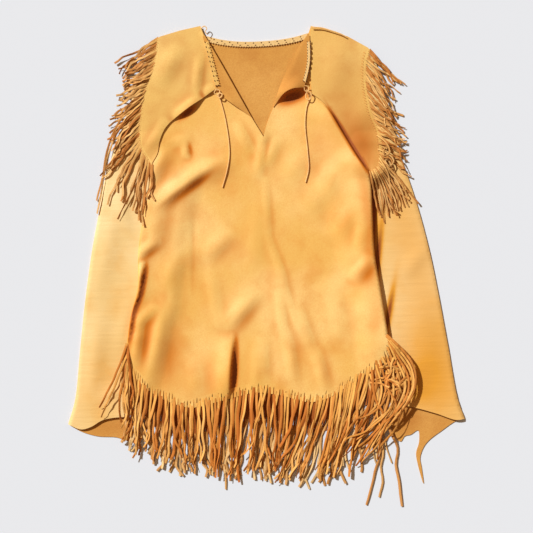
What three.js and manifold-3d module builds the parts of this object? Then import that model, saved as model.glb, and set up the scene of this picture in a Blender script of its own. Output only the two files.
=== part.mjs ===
// A fringed buckskin tunic laid flat on its back, front side up.
// Millimetres. x runs to the right, y towards the neck, z up from the surface that it lies on.
// Left and right are as seen from above with the neck at the top.
import * as THREE from "three";
import { mergeVertices } from "three/addons/utils/BufferGeometryUtils.js";
import Module from "manifold-3d";

const wasm = await Module();
wasm.setup();

// Driving sizes
const hide = 1.4; // thickness of the buckskin
const gap = 0.3; // between two pieces, at seams and where one lies on another
const cellX = 26; // the lattice that carries every panel's height, across
const cellY = 40; // and along the body
const edgeStep = 22; // length of one straight bit of a cut edge
const sleeveStep = 34; // and along a sleeve
const clearOfSleeve = 22; // how far past a sleeve's edge the hide above it stays lifted
const rampOffSleeve = 40; // and how far it then takes to come down
const bindingWidth = 9; // the laced strip round the neck
const bindingStep = 11;
const stripWidth = 8; // uncut strip that carries a fringe
const fringeThickness = 1.2;
const strandTip = 0.7; // width of a strand's tip against its root
const strandSpread = 0.06; // share by which strand lengths differ
const straightSteps = 2; // straight bits of a strand
const curvedSteps = 5; // and of one that turns by more than curvedFrom degrees
const curvedFrom = 30;
const strandSink = 30; // a strand comes down to what it lies on within this length
const rootStep = 0.1; // height of a strand's underside above its strip's
const tailStep = 45; // length of one straight bit of a longer strand
const tailTip = 0.45;
const strandLift = 1.7; // every second strand lies this much higher, so that neighbours stay apart
const tieDiameter = 2.4;
const tieLift = 0.7; // between a tie and the front
const tieStep = 12;
const tieSides = 8;
const weld = 1e-3; // corners closer than this are one
const foldEnds = 1.3; // a fold dies out this many times its own length from end to end
const overSurface = 0.3; // between a strand and the surface
const overPanel = 1; // between a strand and a panel that it crosses

// The shoulder lines from the neck to the shoulder tips.
const shoulders = {
  left: [
    { x: -132, y: 480 },
    { x: -172, y: 471 },
    { x: -212, y: 459 },
  ],
  right: [
    { x: 88, y: 480 },
    { x: 114, y: 475 },
    { x: 162, y: 459 },
    { x: 202, y: 437 },
  ],
};
const shoulderStep = 1.5; // the body is sewn this far below the yokes' shoulder lines
// The body from the shoulders to the hem corners, one row for each level.
const bodySections = [
  { y: 430, left: -215, right: 199 },
  { y: 380, left: -224, right: 193 },
  { y: 320, left: -238, right: 200 },
  { y: 262, left: -243, right: 212 },
  { y: 205, left: -236, right: 206 },
  { y: 150, left: -236, right: 210 },
  { y: 95, left: -247, right: 212 },
  { y: 25, left: -256, right: 216 },
  { y: -40, left: -257, right: 227 },
  { y: -100, left: -271, right: 237 },
  { y: -140, left: -277, right: 243 },
];
const armholeEnd = 205; // the sleeves are sewn on above this level
// The curved hem where the fringe is cut, left corner to right corner.
const hemLine = [
  { x: -277, y: -140 },
  { x: -268, y: -190 },
  { x: -238, y: -224 },
  { x: -195, y: -250 },
  { x: -148, y: -262 },
  { x: -104, y: -252 },
  { x: -62, y: -241 },
  { x: -20, y: -232 },
  { x: 32, y: -238 },
  { x: 88, y: -251 },
  { x: 128, y: -242 },
  { x: 168, y: -216 },
  { x: 206, y: -191 },
  { x: 230, y: -172 },
  { x: 243, y: -140 },
];
const backHemDrop = 11; // the back is cut this much longer than the front
const backNeck = [
  { x: -127, y: 462 },
  { x: -90, y: 453 },
  { x: -50, y: 449 },
  { x: 8, y: 451 },
  { x: 50, y: 457 },
  { x: 86, y: 467 },
];
// The slit of the neck with its two fold lines, left shoulder to slit end to right shoulder.
const slitLeft = [
  { x: -124, y: 462 },
  { x: -90, y: 404 },
  { x: -54, y: 340 },
  { x: -30, y: 298 },
  { x: -6, y: 259 },
];
const slitRight = [
  { x: -6, y: 259 },
  { x: 1, y: 286 },
  { x: 14, y: 318 },
  { x: 48, y: 386 },
  { x: 83, y: 464 },
];

// Each sleeve from the shoulder tip to the cuff: its outer edge, and its inner edge, which the body hides.
const sleeveSides = {
  left: {
    outer: [
      { x: -214, y: 452 },
      { x: -240, y: 415 },
      { x: -262, y: 355 },
      { x: -294, y: 258 },
      { x: -322, y: 178 },
      { x: -336, y: 100 },
      { x: -349, y: 28 },
      { x: -364, y: -85 },
      { x: -373, y: -175 },
      { x: -382, y: -265 },
      { x: -396, y: -315 },
    ],
    inner: [
      { x: -180, y: 186 },
      { x: -200, y: 90 },
      { x: -224, y: -25 },
      { x: -250, y: -150 },
      { x: -270, y: -240 },
      { x: -282, y: -300 },
    ],
    topCuff: [
      { x: -282, y: -300 },
      { x: -306, y: -302 },
      { x: -328, y: -307 },
      { x: -350, y: -320 },
      { x: -370, y: -325 },
      { x: -396, y: -315 },
    ],
    underCuff: [
      { x: -282, y: -300 },
      { x: -262, y: -350 },
      { x: -302, y: -341 },
      { x: -338, y: -339 },
      { x: -372, y: -329 },
      { x: -396, y: -315 },
    ],
  },
  right: {
    outer: [
      { x: 202, y: 434 },
      { x: 222, y: 398 },
      { x: 236, y: 340 },
      { x: 246, y: 275 },
      { x: 268, y: 218 },
      { x: 300, y: 125 },
      { x: 325, y: 32 },
      { x: 342, y: -49 },
      { x: 362, y: -156 },
      { x: 382, y: -265 },
      { x: 396, y: -304 },
    ],
    inner: [
      { x: 152, y: 180 },
      { x: 176, y: 110 },
      { x: 200, y: 10 },
      { x: 226, y: -95 },
      { x: 250, y: -200 },
      { x: 262, y: -274 },
    ],
    topCuff: [
      { x: 262, y: -274 },
      { x: 289, y: -280 },
      { x: 338, y: -293 },
      { x: 378, y: -306 },
      { x: 396, y: -304 },
    ],
    underCuff: [
      { x: 262, y: -274 },
      { x: 265, y: -340 },
      { x: 286, y: -335 },
      { x: 309, y: -327 },
      { x: 303, y: -364 },
      { x: 301, y: -386 },
      { x: 307, y: -410 },
      { x: 316, y: -433 },
      { x: 312, y: -404 },
      { x: 311, y: -386 },
      { x: 318, y: -358 },
      { x: 326, y: -345 },
      { x: 350, y: -324 },
      { x: 378, y: -308 },
      { x: 396, y: -304 },
    ],
  },
};

// Each yoke below its shoulder line: its fringed outer edge, and its free lower edge back to the neck.
const yokeSides = {
  left: {
    outer: [
      { x: -212, y: 459 },
      { x: -216, y: 425 },
      { x: -222, y: 392 },
      { x: -236, y: 355 },
      { x: -245, y: 312 },
      { x: -249, y: 270 },
      { x: -246, y: 238 },
      { x: -227, y: 207 },
    ],
    free: [
      { x: -227, y: 207 },
      { x: -217, y: 226 },
      { x: -213, y: 250 },
      { x: -200, y: 279 },
      { x: -164, y: 310 },
      { x: -130, y: 334 },
      { x: -100, y: 355 },
    ],
    neck: [
      { x: -100, y: 355 },
      { x: -104, y: 390 },
      { x: -115, y: 432 },
      { x: -132, y: 480 },
    ],
  },
  right: {
    outer: [
      { x: 202, y: 437 },
      { x: 196, y: 413 },
      { x: 194, y: 377 },
      { x: 199, y: 338 },
      { x: 208, y: 299 },
      { x: 220, y: 270 },
      { x: 225, y: 232 },
      { x: 223, y: 198 },
      { x: 206, y: 187 },
    ],
    free: [
      { x: 206, y: 187 },
      { x: 183, y: 221 },
      { x: 156, y: 266 },
      { x: 127, y: 313 },
      { x: 106, y: 334 },
      { x: 90, y: 345 },
    ],
    neck: [
      { x: 90, y: 345 },
      { x: 88, y: 400 },
      { x: 87, y: 440 },
      { x: 88, y: 480 },
    ],
  },
};
// The lapels: the laced neck edge after folding, and the free edge from its corner back to the slit.
const lapelSides = {
  left: {
    laced: [
      { x: -127, y: 458 },
      { x: -117, y: 419 },
      { x: -108, y: 383 },
      { x: -99, y: 348 },
    ],
    free: [
      { x: -99, y: 348 },
      { x: -72, y: 327 },
      { x: -31, y: 299 },
    ],
    fold: slitLeft.slice(0, 4),
  },
  right: {
    laced: [
      { x: 86, y: 460 },
      { x: 86, y: 405 },
      { x: 75, y: 357 },
    ],
    free: [
      { x: 75, y: 357 },
      { x: 50, y: 353 },
      { x: 33, y: 343 },
      { x: 14, y: 318 },
    ],
    fold: slitRight.slice(2),
  },
};

// Soft ridges in the hide: a crest of that length, turned from the x axis, that falls away over width.
const frontFolds = [
  { x: -168, y: 178, turn: 32, length: 100, width: 20, height: 8 },
  { x: -166, y: 238, turn: 55, length: 70, width: 24, height: 5 },
  { x: -214, y: 116, turn: 62, length: 80, width: 16, height: 5 },
  { x: -246, y: -40, turn: 78, length: 110, width: 13, height: 8 },
  { x: -222, y: -150, turn: 84, length: 120, width: 17, height: 7 },
  { x: -160, y: -170, turn: 86, length: 150, width: 22, height: 6 },
  { x: -98, y: -190, turn: 76, length: 150, width: 22, height: 12 },
  { x: -34, y: -170, turn: 84, length: 130, width: 16, height: 6 },
  { x: 26, y: -150, turn: 95, length: 190, width: 18, height: 5 },
  { x: 84, y: -140, turn: 104, length: 200, width: 18, height: 6 },
  { x: 140, y: -120, turn: 106, length: 170, width: 20, height: 4 },
  { x: -4, y: 150, turn: 88, length: 190, width: 17, height: 4 },
  { x: -60, y: 210, turn: 112, length: 130, width: 20, height: 4 },
  { x: 70, y: 240, turn: 58, length: 120, width: 30, height: 5 },
  { x: 152, y: 250, turn: 122, length: 150, width: 17, height: 7 },
  { x: 198, y: 100, turn: 92, length: 120, width: 14, height: 9 },
  { x: 212, y: -40, turn: 81, length: 150, width: 14, height: 7 },
  { x: -70, y: 20, turn: 64, length: 210, width: 24, height: 4 },
  { x: 120, y: 40, turn: 60, length: 160, width: 28, height: 4 },
];
const sleeveFolds = [
  { x: -318, y: 40, turn: 78, length: 260, width: 22, height: 3 },
  { x: -342, y: -180, turn: 84, length: 200, width: 20, height: 3 },
  { x: 296, y: 10, turn: 52, length: 80, width: 20, height: 4 },
  { x: 318, y: -150, turn: 101, length: 200, width: 22, height: 3 },
];
const yokeFolds = [
  { x: -166, y: 318, turn: 38, length: 90, width: 15, height: 9 },
  { x: -136, y: 384, turn: 84, length: 80, width: 12, height: 4 },
  { x: -196, y: 400, turn: 62, length: 90, width: 22, height: 4 },
  { x: 140, y: 400, turn: 84, length: 110, width: 28, height: 4 },
  { x: 186, y: 290, turn: 70, length: 90, width: 22, height: 3 },
];
const lapelFolds = [
  { x: -66, y: 324, turn: -34, length: 60, width: 14, height: 3 },
  { x: 40, y: 352, turn: 22, length: 40, width: 18, height: 11 },
];

// How each fringe hangs, one row for a station along its edge: share of the edge, length of a strand,
// heading of its root in degrees from the x axis, and how far it has turned at its tip.
const hemFringe = [
  { at: 0.0, length: 158, heading: -97, turn: 4 },
  { at: 0.06, length: 166, heading: -91, turn: 2 },
  { at: 0.16, length: 150, heading: -92, turn: -4 },
  { at: 0.26, length: 132, heading: -93, turn: 2 },
  { at: 0.38, length: 146, heading: -90, turn: 4 },
  { at: 0.46, length: 174, heading: -92, turn: -4 },
  { at: 0.56, length: 170, heading: -94, turn: -8 },
  { at: 0.66, length: 184, heading: -98, turn: -10 },
  { at: 0.76, length: 192, heading: -98, turn: -12 },
  { at: 0.86, length: 222, heading: -96, turn: -16 },
  { at: 0.93, length: 236, heading: -80, turn: -52 },
  { at: 0.97, length: 250, heading: -52, turn: -86 },
  { at: 1.0, length: 274, heading: -38, turn: -96 },
];
const backFringe = [
  { at: 0.0, length: 146, heading: -90, turn: 2 },
  { at: 0.3, length: 140, heading: -89, turn: 3 },
  { at: 0.5, length: 176, heading: -93, turn: 0 },
  { at: 0.7, length: 172, heading: -97, turn: -4 },
  { at: 0.9, length: 198, heading: -98, turn: -6 },
  { at: 1.0, length: 206, heading: -92, turn: -6 },
];
// From the shoulder down.
const leftYokeFringe = [
  { at: 0.0, length: 78, heading: 198, turn: 22 },
  { at: 0.2, length: 66, heading: 210, turn: 8 },
  { at: 0.4, length: 80, heading: 210, turn: 12 },
  { at: 0.55, length: 102, heading: 222, turn: 14 },
  { at: 0.7, length: 112, heading: 232, turn: 10 },
  { at: 0.85, length: 130, heading: 242, turn: 8 },
  { at: 1.0, length: 124, heading: 260, turn: 4 },
];
// From its lower tip up.
const rightYokeFringe = [
  { at: 0.0, length: 84, heading: -84, turn: -2 },
  { at: 0.1, length: 86, heading: -66, turn: 0 },
  { at: 0.25, length: 72, heading: -66, turn: -10 },
  { at: 0.4, length: 80, heading: -42, turn: -4 },
  { at: 0.6, length: 88, heading: -38, turn: -4 },
  { at: 0.8, length: 84, heading: -42, turn: -2 },
  { at: 1.0, length: 82, heading: -46, turn: 2 },
];
// Single longer strands, each by three points of its line.
const backTails = [
  { x: 221, y: -196, midX: 252, midY: -330, tipX: 272, tipY: -480, width: 8 },
  { x: 211, y: -200, midX: 238, midY: -372, tipX: 200, tipY: -477, width: 7 },
  { x: 200, y: -211, midX: 232, midY: -376, tipX: 227, tipY: -459, width: 6 },
  { x: -76, y: -261, midX: -80, midY: -390, tipX: -83, tipY: -447, width: 8 },
];
const leftSideStrands = [
  { x: -279, y: -158, midX: -296, midY: -206, tipX: -333, tipY: -279, width: 4 },
  { x: -277, y: -174, midX: -297, midY: -224, tipX: -331, tipY: -302, width: 4 },
];
const leftSleeveStrands = [
  { x: -241, y: 352, midX: -305, midY: 268, tipX: -341, tipY: 131, width: 4 },
  { x: -245, y: 334, midX: -303, midY: 256, tipX: -337, tipY: 106, width: 4 },
];
// The lace ends that hang from the two corners of the neck.
const ties = {
  left: [
    { x: -96, y: 343 },
    { x: -89, y: 321 },
    { x: -80, y: 282 },
    { x: -74, y: 226 },
    { x: -79, y: 190 },
    { x: -88, y: 158 },
  ],
  right: [
    { x: 78, y: 352 },
    { x: 86, y: 338 },
    { x: 80, y: 318 },
    { x: 77, y: 285 },
    { x: 82, y: 230 },
    { x: 84, y: 194 },
    { x: 78, y: 168 },
  ],
};

// Points about edgeStep apart on a smooth line through rows of x and y.
function smooth(rows, step = edgeStep) {
  const line = new THREE.CatmullRomCurve3(
    rows.map((row) => new THREE.Vector3(row.x, row.y, 0)),
    false,
    "centripetal",
  );
  const points = line.getSpacedPoints(Math.max(2, Math.round(line.getLength() / step)));
  return points.map((p) => ({ x: p.x, y: p.y }));
}

// One closed outline from edges that follow each other.
function outlineOf(...edges) {
  const points = [];
  for (const p of edges.flat()) {
    const last = points.at(-1);
    if (!last || Math.hypot(p.x - last.x, p.y - last.y) > 1) points.push(p);
  }
  const [first, last] = [points[0], points.at(-1)];
  if (Math.hypot(first.x - last.x, first.y - last.y) < 1) points.pop();
  return points;
}

const bodyEdge = (side) => bodySections.map((row) => ({ x: row[side], y: row.y }));
const reversed = (rows) => [...rows].reverse();
const shifted = (rows, dx, dy) => rows.map((row) => ({ x: row.x + dx, y: row.y + dy }));
const armholeEdge = (side) => {
  const sewn = smooth(bodyEdge(side)).filter((p) => p.y > armholeEnd);
  return shifted(sewn, side === "left" ? -gap : gap, 0);
};
const bodyShoulder = (side) => shifted(shoulders[side], 0, -shoulderStep);

// Distance from a point to an outline, below zero inside it.
function distanceTo(outline, x, y) {
  let nearest = Infinity;
  let inside = false;
  outline.forEach((a, i) => {
    const b = outline[(i + 1) % outline.length];
    const [ex, ey] = [b.x - a.x, b.y - a.y];
    const along = ((x - a.x) * ex + (y - a.y) * ey) / (ex * ex + ey * ey);
    const t = Math.min(1, Math.max(0, along));
    nearest = Math.min(nearest, Math.hypot(x - a.x - t * ex, y - a.y - t * ey));
    if (a.y > y !== b.y > y && x < a.x + ((y - a.y) * ex) / ey) inside = !inside;
  });
  return inside ? -nearest : nearest;
}

// 1 over an outline grown by clear, falling to 0 over the ramp beyond it.
function cover(outline, x, y, clear = clearOfSleeve, ramp = rampOffSleeve) {
  return 1 - THREE.MathUtils.smoothstep(distanceTo(outline, x, y), clear, clear + ramp);
}

// Height that a table of folds adds at a point.
function foldHeight(folds, x, y) {
  return folds.reduce((sum, fold) => {
    const turn = THREE.MathUtils.degToRad(fold.turn);
    const along = (x - fold.x) * Math.cos(turn) + (y - fold.y) * Math.sin(turn);
    const across = (y - fold.y) * Math.cos(turn) - (x - fold.x) * Math.sin(turn);
    const end = Math.max(0, 1 - ((2 * along) / (foldEnds * fold.length)) ** 2);
    return sum + fold.height * end * end * Math.exp(-((across / fold.width) ** 2));
  }, 0);
}

// The outlines of all panels.
const sleeveOutlines = Object.fromEntries(
  Object.entries(sleeveSides).map(([side, rows]) => {
    const down = [armholeEdge(side), smooth(rows.inner, sleeveStep)];
    const up = reversed(smooth(rows.outer, sleeveStep));
    return [
      side,
      {
        top: outlineOf(...down, smooth(rows.topCuff), up),
        under: outlineOf(...down, smooth(rows.underCuff), up),
      },
    ];
  }),
);
const frontOutline = outlineOf(
  reversed(bodyShoulder("left")),
  smooth(slitLeft),
  smooth(slitRight),
  bodyShoulder("right"),
  smooth(bodyEdge("right")),
  reversed(smooth(hemLine)),
  reversed(smooth(bodyEdge("left"))),
);
const backHem = shifted(hemLine.slice(1, -1), 0, -backHemDrop);
const backOutline = outlineOf(
  reversed(bodyShoulder("left")),
  smooth(backNeck),
  bodyShoulder("right"),
  smooth(bodyEdge("right")),
  reversed(smooth(backHem)),
  reversed(smooth(bodyEdge("left"))),
);
const yokeOutlines = Object.fromEntries(
  Object.entries(yokeSides).map(([side, rows]) => [
    side,
    outlineOf(shoulders[side], smooth(rows.outer), smooth(rows.free), smooth(rows.neck)),
  ]),
);
const lapelOutlines = {
  left: outlineOf(
    smooth(lapelSides.left.laced),
    smooth(lapelSides.left.free),
    reversed(smooth(lapelSides.left.fold)),
  ),
  right: outlineOf(
    smooth(lapelSides.right.laced),
    smooth(lapelSides.right.free),
    smooth(lapelSides.right.fold),
  ),
};

// The underside of each layer at a point, from the surface up. Its top is hide above it.
const armpit = 245; // below this level the body lies on the sleeves
function sleeveLow(x, y) {
  return hide + gap + foldHeight(sleeveFolds, x, y);
}
function backLow(x, y) {
  const below = 1 - THREE.MathUtils.smoothstep(y, armpit, armpit + rampOffSleeve);
  const lift = Math.max(
    ...Object.values(sleeveOutlines).map((sleeve) => cover(sleeve.top, x, y)),
  );
  return below * lift * (sleeveLow(x, y) + hide + gap);
}
function frontLow(x, y) {
  return backLow(x, y) + hide + gap + foldHeight(frontFolds, x, y);
}
function yokeLow(x, y) {
  const under = Math.max(frontLow(x, y), sleeveLow(x, y));
  return under + hide + gap + foldHeight(yokeFolds, x, y);
}
function lapelLow(x, y) {
  const onYoke = Math.max(
    cover(yokeOutlines.left, x, y, cellY, cellY),
    cover(yokeOutlines.right, x, y, cellY, cellY),
  );
  const front = frontLow(x, y) + hide;
  const yoke = yokeLow(x, y) + hide;
  return front + onYoke * Math.max(0, yoke - front) + gap + foldHeight(lapelFolds, x, y);
}

// A height function held at the lattice's corners and straight in between, as the panels are.
function onLattice(height) {
  const known = new Map();
  const corner = (i, j) => {
    const key = i + ":" + j;
    if (!known.has(key)) known.set(key, height(i * cellX, j * cellY));
    return known.get(key);
  };
  const at = (x, y) => {
    const [i, j] = [Math.floor(x / cellX), Math.floor(y / cellY)];
    const [u, v] = [x / cellX - i, y / cellY - j];
    const [low, high] = [corner(i, j), corner(i + 1, j + 1)];
    return u > v
      ? low + u * (corner(i + 1, j) - low) + v * (high - corner(i + 1, j))
      : low + v * (corner(i, j + 1) - low) + u * (high - corner(i, j + 1));
  };
  at.corner = corner;
  return at;
}
const surfaces = {
  sleeve: onLattice(sleeveLow),
  back: onLattice(backLow),
  front: onLattice(frontLow),
  yoke: onLattice(yokeLow),
  lapel: onLattice(lapelLow),
};

// A closed solid from vertices and faces that index them.
function solidFrom(vertices, faces) {
  return new wasm.Manifold(
    new wasm.Mesh({
      numProp: 3,
      vertProperties: new Float32Array(vertices.flat()),
      triVerts: new Uint32Array(faces.flat()),
    }),
  );
}

// A closed solid from a closed geometry.
function solidOfGeometry(geometry) {
  const bare = geometry.clone();
  bare.deleteAttribute("normal");
  bare.deleteAttribute("uv");
  const merged = mergeVertices(bare, weld);
  return new wasm.Manifold(
    new wasm.Mesh({
      numProp: 3,
      vertProperties: merged.attributes.position.array,
      triVerts: new Uint32Array(merged.index.array),
    }),
  );
}

// A flat plate of an outline, upwards from the surface.
function plate(outline, depth) {
  const shape = new THREE.Shape(outline.map((p) => new THREE.Vector2(p.x, p.y)));
  return new THREE.ExtrudeGeometry(shape, { depth, bevelEnabled: false });
}

// A panel of hide: the lattice over its outline, hide thick, cut to the outline.
function panel(outline, low) {
  const across = outline.map((p) => p.x / cellX);
  const along = outline.map((p) => p.y / cellY);
  const [i0, i1] = [Math.floor(Math.min(...across)), Math.ceil(Math.max(...across))];
  const [j0, j1] = [Math.floor(Math.min(...along)), Math.ceil(Math.max(...along))];
  const rows = j1 - j0 + 1;
  const vertices = [];
  const faces = [];
  for (let i = i0; i <= i1; i++)
    for (let j = j0; j <= j1; j++) {
      const z = low.corner(i, j);
      vertices.push([i * cellX, j * cellY, z], [i * cellX, j * cellY, z + hide]);
    }
  const under = (i, j) => 2 * ((i - i0) * rows + (j - j0));
  const quad = (a, b, c, d) => faces.push([a, b, c], [a, c, d]);
  for (let i = i0; i < i1; i++)
    for (let j = j0; j < j1; j++) {
      const [a, b] = [under(i, j), under(i + 1, j)];
      const [c, d] = [under(i + 1, j + 1), under(i, j + 1)];
      quad(a + 1, b + 1, c + 1, d + 1);
      faces.push([a, c, b], [a, d, c]);
    }
  for (let i = i0; i < i1; i++) {
    const [a, b, c, d] = [under(i, j0), under(i + 1, j0), under(i, j1), under(i + 1, j1)];
    quad(a, b, b + 1, a + 1);
    quad(d, c, c + 1, d + 1);
  }
  for (let j = j0; j < j1; j++) {
    const [a, b, c, d] = [under(i0, j), under(i0, j + 1), under(i1, j), under(i1, j + 1)];
    quad(b, a, a + 1, b + 1);
    quad(c, d, d + 1, c + 1);
  }
  const cutterDepth = 120;
  const cutter = plate(outline, cutterDepth);
  cutter.translate(0, 0, -cutterDepth / 2);
  return solidFrom(vertices, faces).intersect(solidOfGeometry(cutter));
}

// Unit vectors across a line of points, to its left.
function acrossLine(points) {
  return points.map((p, i) => {
    const [a, b] = [points[Math.max(0, i - 1)], points[Math.min(points.length - 1, i + 1)]];
    const length = Math.hypot(b.x - a.x, b.y - a.y);
    return { x: -(b.y - a.y) / length, y: (b.x - a.x) / length };
  });
}

// A solid swept along a line. The section's corners go round from the lower right, counterclockwise
// as seen from behind: each gives how far left of the line it is, in half widths, and its height.
function sweep(points, width, corners) {
  const across = acrossLine(points);
  const vertices = points.flatMap((p, i) =>
    corners.map(({ left, z }) => {
      const away = (left * width(i)) / 2;
      const [x, y] = [p.x + away * across[i].x, p.y + away * across[i].y];
      return [x, y, z(x, y, p)];
    }),
  );
  const n = corners.length;
  const last = n * (points.length - 1);
  const faces = [];
  for (let k = 1; k + 1 < n; k++) faces.push([0, k, k + 1], [last, last + k + 1, last + k]);
  for (let i = 0; i < last; i += n)
    for (let k = 0; k < n; k++) {
      const [a, b] = [i + k, i + ((k + 1) % n)];
      faces.push([a, a + n, b + n], [a, b + n, b]);
    }
  return solidFrom(vertices, faces);
}

// A flat band along a line, between two heights.
function band(points, width, low, high) {
  return sweep(points, width, [
    { left: -1, z: low },
    { left: -1, z: high },
    { left: 1, z: high },
    { left: 1, z: low },
  ]);
}

// A strand along a line, three-sided: flat below, with a ridge along its top.
function strand(points, width, low) {
  return sweep(points, width, [
    { left: -1, z: (x, y, p) => low(p.x, p.y) },
    { left: 0, z: (x, y, p) => low(p.x, p.y) + fringeThickness },
    { left: 1, z: (x, y, p) => low(p.x, p.y) },
  ]);
}

// A line moved sideways, to its left where the distance is above zero.
function besideLine(points, distance) {
  const across = acrossLine(points);
  return points.map((p, i) => ({ x: p.x + distance * across[i].x, y: p.y + distance * across[i].y }));
}

// A sleeve lies flat: an upper and an under wall, joined along the outer fold and the underarm seam.
function sleeve(side) {
  const { top, under } = sleeveOutlines[side];
  const wallWidth = 2.4;
  const inwards = side === "left" ? 1 : -1;
  const low = () => 0.5 * hide;
  const high = (x, y) => surfaces.sleeve(x, y) + 0.5 * hide;
  const edge = (rows) => smooth(rows, sleeveStep).slice(1);
  const outerFold = besideLine(edge(sleeveSides[side].outer), inwards * wallWidth);
  const seam = besideLine(edge(sleeveSides[side].inner), -inwards * wallWidth);
  return wasm.Manifold.union([
    solidOfGeometry(plate(under, hide)),
    panel(top, surfaces.sleeve),
    band(outerFold, () => wallWidth, low, high),
    band(seam, () => wallWidth, low, high),
  ]);
}

// Numbers between -1 and 1 that look random, always the same for the same strand.
const scatter = (strand) => Math.sin(strand * strand * 7.31 + strand * 2.17);

// A value from a table of stations, straight between two rows.
function station(rows, share, column) {
  const next = Math.max(1, rows.findIndex((row) => row.at >= share));
  const [a, b] = [rows[next - 1], rows[next]];
  return a[column] + ((share - a.at) / (b.at - a.at)) * (b[column] - a[column]);
}

// The line of one strand from its root, turning evenly to its tip.
function strandLine(root, heading, turn, length, steps) {
  const points = [root];
  for (let k = 0; k < steps; k++) {
    const angle = THREE.MathUtils.degToRad(heading + (turn * (k + 0.5)) / steps);
    const last = points.at(-1);
    points.push({
      x: last.x + (length / steps) * Math.cos(angle),
      y: last.y + (length / steps) * Math.sin(angle),
    });
  }
  return points;
}

// A fringe: an uncut strip along an edge and the strands cut below it, in one piece.
// The edge runs so that the strands hang to its right.
function fringe({ edge, table, strands, width, stripFloor, floor, extras = [] }) {
  const middle = besideLine(edge, -(gap + stripWidth / 2));
  const strip = band(
    middle,
    () => stripWidth,
    (x, y) => stripFloor(x, y),
    (x, y) => stripFloor(x, y) + hide,
  );
  const curve = new THREE.CatmullRomCurve3(
    middle.map((p) => new THREE.Vector3(p.x, p.y, 0)),
    false,
    "centripetal",
  );
  const lying = (root, lift) => (x, y) => {
    const away = THREE.MathUtils.smoothstep(Math.hypot(x - root.x, y - root.y), width, strandSink);
    const rooted = stripFloor(root.x, root.y) + rootStep;
    return rooted + away * (floor(x, y) + lift - rooted);
  };
  const pieces = [];
  for (let k = 0; k < strands; k++) {
    const share = (k + 0.5) / strands;
    const root = curve.getPointAt(share);
    const turn = station(table, share, "turn");
    const length = station(table, share, "length") * (1 + strandSpread * scatter(k));
    const steps = Math.abs(turn) > curvedFrom ? curvedSteps : straightSteps;
    const line = strandLine(root, station(table, share, "heading"), turn, length, steps);
    const under = lying(root, (k % 2) * strandLift);
    pieces.push(strand(line, (i) => width * (i === steps ? strandTip : 1), under));
  }
  for (const tail of extras) {
    const rows = [tail, { x: tail.midX, y: tail.midY }, { x: tail.tipX, y: tail.tipY }];
    const line = smooth(rows, tailStep);
    const narrowing = (i) => tail.width * (1 - ((1 - tailTip) * i) / (line.length - 1));
    pieces.push(strand(line, narrowing, lying(tail, 0)));
  }
  return wasm.Manifold.union([strip, ...pieces]);
}

// What the strands of a fringe lie on: clear of every panel that they cross.
function onSleeves(x, y) {
  const top = surfaces.sleeve(x, y) + hide + overPanel;
  const outlines = Object.values(sleeveOutlines).flatMap((sleeve) => [sleeve.top, sleeve.under]);
  return Math.max(overSurface, ...outlines.map((outline) => cover(outline, x, y) * top));
}
function onSleevesAndFront(x, y) {
  const front = cover(frontOutline, x, y) * (surfaces.front(x, y) + hide + overPanel);
  return Math.max(onSleeves(x, y), front);
}
const onBackFringe = (x, y) => onSleeves(x, y) + strandLift + fringeThickness + overPanel;

// A laced binding: a folded strip along the neck's edge, lying on the panel under it.
function binding(rows, distance, under, bareSteps = 1) {
  const laced = smooth(rows, bindingStep).slice(bareSteps, -1);
  const line = besideLine(laced, distance);
  const low = (x, y) => under(x, y) + hide + 2 * gap;
  return band(line, () => bindingWidth, low, (x, y) => low(x, y) + hide);
}

// A lace end: a round thong that lies on the front.
function tie(rows) {
  const radius = tieDiameter / 2;
  const points = smooth(rows, tieStep).map(
    (p) => new THREE.Vector3(p.x, p.y, surfaces.front(p.x, p.y) + hide + tieLift + radius),
  );
  const section = new THREE.Shape();
  section.absarc(0, 0, radius, 0, 2 * Math.PI);
  const curve = new THREE.CatmullRomCurve3(points, false, "centripetal");
  const steps = Math.round(curve.getLength() / (3 * tieDiameter));
  const geometry = new THREE.ExtrudeGeometry(section, {
    steps,
    curveSegments: tieSides / 2,
    bevelEnabled: false,
    extrudePath: curve,
  });
  return solidOfGeometry(geometry);
}

const grain = { color: 0xf3b95f, roughness: 0.62, metalness: 0 };
const paleGrain = { color: 0xeec583, roughness: 0.7, metalness: 0 };
const suede = { color: 0xdd9f4c, roughness: 0.92, metalness: 0 };
const pale = { color: 0xe7cfa4, roughness: 0.8, metalness: 0 };

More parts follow.
